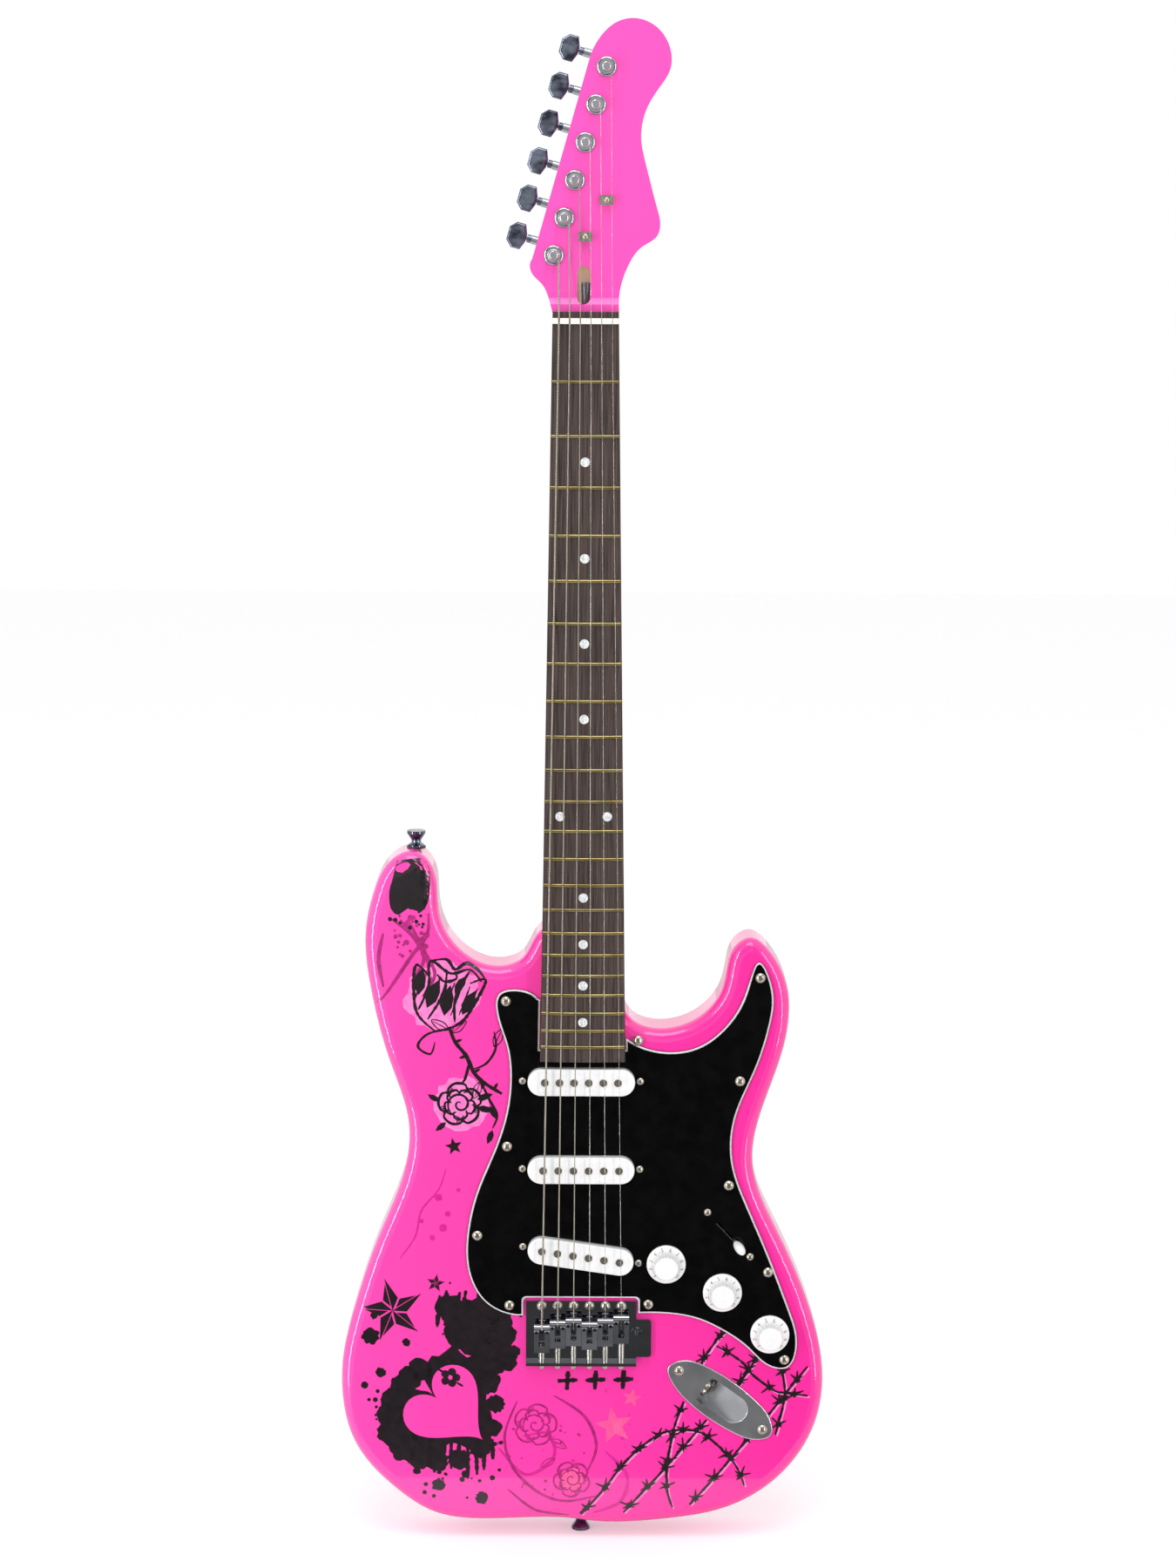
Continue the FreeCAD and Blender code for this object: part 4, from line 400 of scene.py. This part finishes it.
# printed decoration, all in mm from the guitar's centre line and the body's lower edge
chance = random.Random(7)
printSettings = {"scale": 1.013, "drop": 11.3,  # the drawing is enlarged a little and lowered
                 "step": 0.0003,  # each shape stands this far over the one before, so none share a plane
                 "edge": 6.0,  # longest edge of the ink before it is laid on
                 "front": 8.0}  # ink is kept where the body lies this far in front of the origin, or more
inkLayers = {name: ([], []) for name in ("pale", "orange", "rose", "plum", "black", "heart", "marks")}
shapeCount = dict.fromkeys(inkLayers, 0)


def rise(layer):
    shapeCount[layer] += 1
    return shapeCount[layer] * printSettings["step"]


def fill(layer, outline):
    points, faces = inkLayers[layer]
    start = len(points)
    height = rise(layer)
    points.extend([(x, height, z) for x, z in outline])
    flat = [Vector((x, z, 0)) for x, z in outline]
    faces.extend([tuple(start + i for i in face) for face in tessellate_polygon([flat])])


def smooth(points, step=1.5):
    if len(points) == 2:
        points = [points[0], ((points[0][0] + points[1][0]) / 2, (points[0][1] + points[1][1]) / 2),
                  points[1]]
    padded = [points[0]] + list(points) + [points[-1]]
    line = []
    for a, b, c, d in zip(padded, padded[1:], padded[2:], padded[3:]):
        count = max(2, int(math.dist(b, c) / step))
        for index in range(count):
            t = index / count
            line.append(tuple(
                0.5 * (2 * q + (r - p) * t + (2 * p - 5 * q + 4 * r - s) * t * t
                       + (3 * q - p - 3 * r + s) * t ** 3)
                for p, q, r, s in zip(a, b, c, d)))
    line.append(points[-1])
    return line


def stroke(layer, points, width, thin=0.25, wobble=0.15):
    line = smooth(points)
    left, right = [], []
    for index, (x, z) in enumerate(line):
        x0, z0 = line[max(index - 1, 0)]
        x1, z1 = line[min(index + 1, len(line) - 1)]
        length = math.dist((x0, z0), (x1, z1)) or 1
        along = index / (len(line) - 1)
        swell = thin + (1 - thin) * math.sin(math.pi * min(max(along, 0.02), 0.98)) ** 0.6
        halfWidth = width / 2 * swell * (1 + chance.uniform(-wobble, wobble))
        normal = (-(z1 - z0) / length * halfWidth, (x1 - x0) / length * halfWidth)
        left.append((x + normal[0], z + normal[1]))
        right.append((x - normal[0], z - normal[1]))
    points, faces = inkLayers[layer]
    start = len(points)
    height = rise(layer)
    points.extend([(x, height, z) for x, z in left + right])
    count = len(left)
    for index in range(count - 1):
        a = start + index
        faces.append((a, a + 1, a + 1 + count, a + count))


def placer(x, z, size, turn):  # from a motif's own coordinates to the drawing's
    a = math.radians(turn)
    return lambda u, v: (x + size * (u * math.cos(a) - v * math.sin(a)),
                         z + size * (u * math.sin(a) + v * math.cos(a)))


def blot(layer, x, z, radius, ragged=0.12, sides=22, tall=1.0, turn=0):
    at = placer(x, z, radius, turn)
    outline = []
    for index in range(sides):
        angle = 2 * math.pi * index / sides
        reach = 1 + chance.uniform(-ragged, ragged)
        outline.append(at(reach * math.cos(angle), reach * tall * math.sin(angle)))
    fill(layer, outline)


def spatter(layer, x, z, spread, count, size):
    for _ in range(count):
        angle, reach = chance.uniform(0, 2 * math.pi), spread * chance.uniform(0.2, 1) ** 0.7
        blot(layer, x + reach * math.cos(angle), z + reach * math.sin(angle),
             size * chance.uniform(0.35, 1), 0.1, 12)


def star(layer, x, z, radius, turn=0, facets=False):
    corners = []
    for index in range(10):
        angle = math.radians(90 + turn) + math.pi * index / 5
        reach = radius if index % 2 == 0 else radius * 0.42
        corners.append((x + reach * math.cos(angle), z + reach * math.sin(angle)))
    if not facets:
        fill(layer, corners)
        return
    for index in range(0, 10, 2):  # each arm in two halves, with a bare line between them
        fill(layer, [corners[index], corners[index - 1], (x, z)])
        half = [corners[index], corners[(index + 1) % 10], (x, z)]
        middle = [sum(corner[i] for corner in half) / 3 for i in (0, 1)]
        fill(layer, [(middle[0] + (u - middle[0]) * 0.7, middle[1] + (v - middle[1]) * 0.7)
                     for u, v in half])


def rose(layer, x, z, size, turn=0, width=0.8, petals=5):
    def at(angle, reach):
        angle += math.radians(turn)
        return x + reach * size * math.cos(angle), z + reach * size * math.sin(angle)
    stroke(layer, [at(t * 0.62, 0.06 + 0.036 * t) for t in range(17)], width)
    for index in range(petals):
        start = 2 * math.pi * index / petals
        for shift, out in ((0.0, 1.0), (0.5, 0.72)):
            stroke(layer, [at(start + shift, out * 0.62), at(start + shift + 0.25, out * 0.95),
                           at(start + shift + 0.75, out), at(start + shift + 1.2, out * 0.88),
                           at(start + shift + 1.45, out * 0.55)], width * 1.15)
        for line in range(4):  # hatching in each petal's fold
            a = start + 0.95 + 0.11 * line
            stroke(layer, [at(a, 0.66), at(a + 0.06, 0.9)], width * 0.5)


def roseBud(layer, x, z, size, turn, width):  # a half-open rose seen from its side
    at = placer(x, z, size, turn)
    petals = (
        [(0, -1), (-0.62, -0.62), (-0.9, 0.1), (-0.98, 0.72), (-0.55, 0.5)],
        [(0, -1), (0.6, -0.6), (0.86, 0.05), (1.0, 0.78), (0.6, 0.58)],
        [(-0.62, -0.5), (-0.5, 0.2), (-0.62, 0.92), (0.0, 0.72), (0.5, 0.95), (0.9, 0.7)],
        [(-0.3, -0.7), (-0.05, 0.1), (-0.1, 0.7)], [(0.45, -0.6), (0.3, 0.1), (0.5, 0.9)],
        [(-0.62, 0.92), (-0.2, 1.08), (0.1, 0.86), (0.35, 1.1), (0.72, 1.0), (1.0, 0.78)],
        [(-0.35, 0.6), (-0.1, 0.45), (0.2, 0.62), (0.1, 0.8)],
    )
    for petal in petals:
        stroke(layer, [at(u, v) for u, v in petal], width, 0.4, 0.3)
    for u, v, length, lean in ((-0.72, -0.1, 0.8, 95), (-0.4, -0.4, 0.9, 80), (0.12, -0.5, 0.9, 92),
                               (0.6, -0.35, 0.8, 75), (0.25, 0.2, 0.6, 70)):
        leaf(layer, *at(u, v), size * length, turn + lean)
    for index in range(8):  # loose shading across the folds
        u = -0.8 + index * 0.22
        stroke(layer, [at(u, -0.35 + 0.1 * math.sin(index)), at(u + 0.1, 0.5)], width * 0.55, 0.3, 0.3)


def leaf(layer, x, z, length, turn, filled=True):
    at = placer(x, z, length, turn)
    edge = [at(0, 0), at(0.3, 0.2), at(0.65, 0.2), at(1, 0), at(0.62, -0.17), at(0.3, -0.18)]
    if filled:
        fill(layer, edge)
    else:
        stroke(layer, edge + [edge[0]], length * 0.05, 1)
        stroke(layer, [at(0, 0), at(0.9, 0.02)], length * 0.04)


# horn: rubbed patch of ink with brushed arcs under it
fill("black", smooth([(-119, 452), (-104, 453.5), (-98.5, 447), (-98, 437), (-99.5, 425), (-104, 419),
                      (-112, 421.5), (-118, 417), (-123, 421), (-124, 432), (-121.5, 441)], 3)[:-1])
spatter("black", -112, 418, 13, 26, 1.6)
spatter("plum", -110, 404, 15, 24, 2.2)
for reach, lean in ((0, 0), (5, 3), (10, 7)):
    stroke("plum", [(-122 + reach, 414), (-108 + lean, 402 - reach), (-102 + lean, 388 - reach),
                    (-110 + lean, 374 - reach)], 2.4)
stroke("plum", [(-99, 418), (-100, 404), (-110, 390), (-126, 366), (-132, 360)], 2.6)
stroke("plum", [(-128, 405), (-131, 388), (-128, 370)], 2.6)

# flowers: two sketched roses on a thorny stem with a paler bloom behind them
blot("pale", -90, 365, 25, 0.08, 30, 0.85, 29)
blot("pale", -78, 293, 18, 0.08, 28, 1.0)
roseBud("black", -89, 363, 23, -14, 2.0)
rose("black", -79, 293, 14, 60, 1.5)
stroke("black", [(-86, 344), (-82, 334), (-75, 325), (-70, 314), (-63, 307), (-52, 300)], 2.6, 0.6)
stroke("black", [(-73, 320), (-76, 309), (-79, 306)], 2.0)
stroke("black", [(-86, 343), (-100, 339), (-106, 331), (-98, 326), (-95, 334)], 1.6)
stroke("black", [(-71, 316), (-62, 320), (-56, 330), (-57, 341)], 1.6)
stroke("black", [(-66, 309), (-60, 296), (-55, 286), (-58, 277)], 1.6)
for x, z, turn in ((-82, 334, 20), (-75, 325, 200), (-70, 314, 30), (-63, 307, 240), (-57, 303, 60)):
    leaf("black", x, z, 5, turn)
for x, z, size, turn in ((-86, 342, 13, 150), (-84, 340, 12, 40), (-57, 331, 13, 65), (-66, 308, 12, 250),
                         (-60, 292, 11, 300), (-92, 295, 9, 150), (-88, 281, 9, 220),
                         (-68, 296, 11, 20), (-68, 291, 11, -15), (-58, 276, 10, 250)):
    leaf("black", x, z, size, turn, size < 12)

# stars and ink drops down the left side
star("black", -83, 265, 5.8, 12)
star("black", -95, 173.5, 6.4, -8, True)
star("black", -123, 155, 22, 14, True)
for x, z, radius in ((-93, 231, 2.4), (-87, 220, 1.9), (-90, 210.5, 2.6), (-97, 204, 1.8), (-104, 215, 1.5),
                     (-80, 236, 1.4)):
    blot("rose", x, z, radius)
stroke("rose", [(-118, 190), (-108, 205), (-104, 222), (-93, 236), (-88, 250)], 1.2)
for x, z, radius in ((-137.5, 138, 5.6), (-135, 151.5, 2.2), (-114, 133.5, 2.6), (-131, 113, 3.4),
                     (-141.5, 104.5, 2.4), (-93.5, 37, 4.2), (-65, 28, 4.0), (-76, 44, 2.4), (-108, 46, 2)):
    blot("black", x, z, radius, 0.18)

# heart: a plain pink heart in a ragged black cloud with brushed strokes and runs
heart = {"x": -86.5, "z": 88.5, "wide": 30, "tall": 32, "tilt": 47}


def heartLine(grow):
    at = placer(heart["x"], heart["z"], 1, heart["tilt"])
    line = []
    for index in range(56):
        t = 2 * math.pi * index / 56
        u = heart["wide"] * grow * math.sin(t) ** 3
        v = heart["tall"] * grow / 16 * (13 * math.cos(t) - 5 * math.cos(2 * t) - 2 * math.cos(3 * t)
                                         - math.cos(4 * t)) + 1
        line.append(at(u, v))
    return line


cloud = []
for index, (x, z) in enumerate(heartLine(1.0)):
    out = 1.22 + 0.12 * math.sin(index * 1.9) + chance.uniform(-0.05, 0.09)
    cloud.append((heart["x"] + (x - heart["x"]) * out, heart["z"] + (z - heart["z"]) * out))
fill("black", cloud)
for index in range(9):
    angle = math.radians(125 + index * 16)
    blot("black", heart["x"] + 33 * math.cos(angle), heart["z"] + 2 + 30 * math.sin(angle), 8, 0.1, 20)
for x, z, radius in ((-86, 157, 9), (-77, 151, 12), (-65, 152, 12), (-53, 147, 9), (-69, 138, 14),
                     (-54, 134, 9), (-80, 140, 10), (-48, 139, 6), (-50, 122, 8), (-59, 121, 10),
                     (-61, 107, 8), (-44, 128, 4), (-118, 104, 7), (-123, 95, 8), (-126, 84, 8),
                     (-124, 72, 9), (-116, 62, 9), (-105, 55, 8), (-94, 53, 7), (-80, 54, 7),
                     (-66, 62, 7), (-58, 76, 6), (-56, 92, 6)):
    blot("black", x, z, radius, 0.13, 24)
for index in range(9):  # brushed tops
    x = -94 + index * 5.0
    stroke("black", [(x, 144 + index * 0.8), (x + chance.uniform(1, 5), 162 + chance.uniform(-4, 7))],
           2.6, 0.4, 0.4)
for index in range(11):  # runs of ink
    x = -112 + index * 5.4
    stroke("black", [(x, 68), (x + chance.uniform(-1, 1), 55 - chance.uniform(0, 14))], 2.6, 0.5, 0.3)
spatter("black", -82, 58, 34, 36, 1.9)
spatter("black", -128, 96, 16, 18, 1.8)
spatter("black", -64, 150, 34, 24, 1.6)
fill("heart", heartLine(0.93))
flower = {"x": -85.5, "z": 110, "reach": 4.0}  # a plain five-petal flower in the heart's notch
for index in range(5):
    angle = 2 * math.pi * index / 5
    blot("marks", flower["x"] + flower["reach"] * math.cos(angle),
         flower["z"] + flower["reach"] * math.sin(angle), 2.7, 0.05, 14)
blot("heart", flower["x"], flower["z"], 1.6, 0.03, 12)
stroke("marks", [(-94, 116), (-89, 113)], 1.5)
stroke("marks", [(-77, 104), (-82, 107)], 1.5)

# three crosses
for index in range(3):
    x, z = -9 + index * 18.2, 108.2 + index * 0.4
    stroke("black", [(x - 6.4, z - 0.3), (x + 6.4, z + 0.4)], 3.0, 0.6, 0.3)
    stroke("black", [(x + 0.3, z + 6.4), (x - 0.4, z - 6.4)], 3.0, 0.6, 0.3)

# faded stars, thin roses and sweeping arcs
star("orange", 21.5, 77.5, 13, 10)
star("orange", 33, 96.5, 6.5, -12)
rose("plum", -30, 78, 14, 40, 1.1)
rose("plum", -6, 41, 12, 10, 1.1)
blot("orange", -6, 41, 8, 0.12)
leaf("plum", -20, 68, 12, -30, False)
leaf("plum", -17, 55, 11, 210, False)
stroke("plum", [(-42, 94), (-50, 70), (-44, 48), (-28, 32), (-10, 26), (12, 30)], 2.0)
stroke("plum", [(-18, 98), (2, 84), (10, 64), (4, 46)], 2.0)
stroke("rose", [(-54, 62), (-36, 44), (-18, 56), (-22, 72), (-38, 70)], 2.2)
stroke("rose", [(16, 60), (30, 44), (26, 26), (8, 18)], 2.4)
stroke("plum", [(-48, 34), (-30, 20), (-8, 16)], 1.8)
spatter("plum", -26, 56, 30, 22, 1.2)
spatter("rose", 4, 70, 34, 16, 1.4)

# barbed wire: crossing runs, each with a pale edge beside it and barbs tied round it
wireSettings = {"width": 1.5, "paleEdge": (1.1, -1.0), "firstBarb": 5, "barbEvery": 11,
                "barbAngles": (25, 85, 145, 215), "barbReach": (4.5, 7), "barbWidth": 1.3, "knot": 2.0}
wires = [
    [(0, 17), (14, 33), (28.5, 52.5), (44, 67), (57.5, 74), (76, 74), (89.5, 64.5), (98.5, 55),
     (104, 46), (107, 37)],
    [(28, 18.5), (40, 32), (53.5, 47), (76, 74.5), (82, 82)],
    [(78, 116), (79.5, 123), (87, 134.5), (93, 142)],
    [(71.5, 24), (89.5, 45), (108.5, 68.5), (122, 85), (132.5, 99), (147.5, 118.5)],
    [(67, 94), (61, 77), (56.5, 51.5), (56.5, 34), (60, 22)],
    [(88, 132), (98, 126), (106, 120), (112.5, 112), (126, 102), (133, 100.5), (148, 98.5)],
    [(100, 101), (103, 107), (110, 117), (116, 128)],
    [(127, 72), (131, 88), (133, 100), (131, 116)],
]
for wire in wires:
    beside, below = wireSettings["paleEdge"]
    stroke("pale", [(x + beside, z + below) for x, z in wire], wireSettings["width"], 0.7)
    stroke("black", wire, wireSettings["width"], 0.7, 0.3)
    line = smooth(wire)
    for index in range(wireSettings["firstBarb"], len(line), wireSettings["barbEvery"]):
        x, z = line[index]
        for angle in wireSettings["barbAngles"]:
            turned = angle + chance.uniform(-18, 18)
            at = placer(x, z, chance.uniform(*wireSettings["barbReach"]), turned)
            stroke("black", [at(-0.5, 0), at(1, 0)], wireSettings["barbWidth"], 0.15)
        blot("black", x, z, wireSettings["knot"], 0.25, 9)

# inks, screen printed under the clear coat: flat colour, slightly uneven, as glossy as the lacquer
inkSettings = {  # light and dark of each ink, and how far it stands off the body in mm
    "pale": ("#FF8FD2", "#FF73C6", 0.03), "orange": ("#FF5FA0", "#FF4B96", 0.05),
    "rose": ("#E0189A", "#CF1189", 0.08), "plum": ("#C01584", "#9C0E68", 0.12),
    "black": ("#190612", "#0B0208", 0.18), "heart": ("#FF48B4", "#FF3FB0", 0.45),
    "marks": ("#2A0A20", "#180511", 0.47)}
bodyTree = treeOf("body")
for name, (points, faces) in inkLayers.items():
    bm = bmesh.new()
    scale, drop = printSettings["scale"] / 1000, printSettings["drop"] / 1000
    verts = [bm.verts.new((x * scale, height / 1000, z * scale - drop + bodyLow)) for x, height, z in points]
    for face in faces:
        bm.faces.new([verts[i] for i in face])
    for _ in range(3):  # short edges, so that the ink bends over the rounded rim
        longEdges = [edge for edge in bm.edges if edge.calc_length() > printSettings["edge"] / 1000]
        bmesh.ops.subdivide_edges(bm, edges=longEdges, cuts=1)
    bmesh.ops.triangulate(bm, faces=bm.faces[:])
    light, dark, lift = inkSettings[name]
    layOn(bm, bodyTree, lift / 1000, -printSettings["front"] / 1000)
    ink = lacquer if name == "heart" else surface(
        "screenInk" + name.capitalize(), light, dark, 4, (1, 1, 1), (0.25, 0.35), 0.01, IOR=1.5,
        **{"Coat Weight": 1.0, "Coat Roughness": 0.035})
    piece = addPiece("print_" + name, bm, ink)
    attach(piece, "guitar")
print("decoration printed")

# numerals round each knob's skirt, stamped in foil
numeralSettings = {"reach": 10.3, "height": 3.1, "from": -135, "to": 135, "lift": 0.05}
for knob in ("knob_volume", "knob_tone_neck", "knob_tone_middle"):
    low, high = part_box(knob)
    target = treeOf(knob)
    bm = bmesh.new()
    for number in range(1, 11):
        text = bpy.data.curves.new("numeral", "FONT")
        text.body = str(number)
        text.size = numeralSettings["height"] / 1000
        text.align_x = text.align_y = "CENTER"
        holder = bpy.data.objects.new("numeral", text)
        shape = bpy.data.meshes.new_from_object(holder)
        span = numeralSettings["to"] - numeralSettings["from"]
        angle = math.radians(numeralSettings["from"] + span * (number - 1) / 9)
        first = len(bm.verts)
        bm.from_mesh(shape)
        bm.verts.ensure_lookup_table()
        for vert in bm.verts[first:]:
            u = vert.co.x
            v = vert.co.y + numeralSettings["reach"] / 1000
            vert.co = ((low.x + high.x) / 2 + u * math.cos(angle) + v * math.sin(angle), 0,
                       (low.z + high.z) / 2 - u * math.sin(angle) + v * math.cos(angle))
        bpy.data.objects.remove(holder)
    bmesh.ops.triangulate(bm, faces=bm.faces[:])
    layOn(bm, target, numeralSettings["lift"] / 1000, 0.0)
    piece = addPiece(knob + "_numerals", bm, goldFoil)
    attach(piece, knob)
print("knobs numbered")

# copies of the strings that run between the neck and the bridge, in pieces of their own; the string nodes
# are hidden
for name in ("strings_wound", "strings_plain"):
    piece = bpy.data.objects.new(name + "_stretched", nodes[name].data.copy())
    scene.collection.objects.link(piece)
    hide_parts(name)
    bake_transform(piece)

# tremolo springs: close-wound coils in place of the plain ones
springSettings = {"wire": 1.05, "turns": 34, "sides": 14,  # wire in mm
                  "apart": 0.003, "hook": 0.004, "inset": 0.001}  # m
springNode = nodes["tremolo_springs"]
corners = sorted((v.co.copy() for v in springNode.data.vertices), key=lambda c: c.x)
groups = [[corners[0]]]
for corner in corners[1:]:
    if corner.x - groups[-1][-1].x > springSettings["apart"]:
        groups.append([])
    groups[-1].append(corner)
coils = bmesh.new()
for group in groups:
    low = [min(c[i] for c in group) for i in range(3)]
    high = [max(c[i] for c in group) for i in range(3)]
    x = (low[0] + high[0]) / 2
    ends = []
    for limit, side in ((low[2] + springSettings["hook"], -1), (high[2] - springSettings["hook"], 1)):
        near = [c.y for c in group if (c.z - limit) * side > 0]
        ends.append(sum(near) / len(near))
    radius = (high[0] - low[0]) / 2 - springSettings["wire"] / 2000
    line = bpy.data.curves.new("coil", "CURVE")
    line.dimensions = "3D"
    line.bevel_depth = springSettings["wire"] / 2000
    line.bevel_resolution = 2
    spline = line.splines.new("POLY")
    count = springSettings["turns"] * springSettings["sides"]
    coilLow, coilHigh = low[2] + springSettings["inset"], high[2] - springSettings["inset"]
    spline.points.add(count)
    for index in range(count + 1):
        t = index / count
        angle = 2 * math.pi * springSettings["turns"] * t
        spline.points[index].co = (x + radius * math.cos(angle),
                                   ends[0] + (ends[1] - ends[0]) * t + radius * math.sin(angle),
                                   coilLow + (coilHigh - coilLow) * t, 1)
    holder = bpy.data.objects.new("coil", line)
    coils.from_mesh(bpy.data.meshes.new_from_object(holder))
    bpy.data.objects.remove(holder)
piece = addPiece("spring_coils", coils, plainSteel)
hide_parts("tremolo_springs")
low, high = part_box("tremolo_springs")
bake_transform(piece)
print("strings and springs made:", len(groups), "springs")
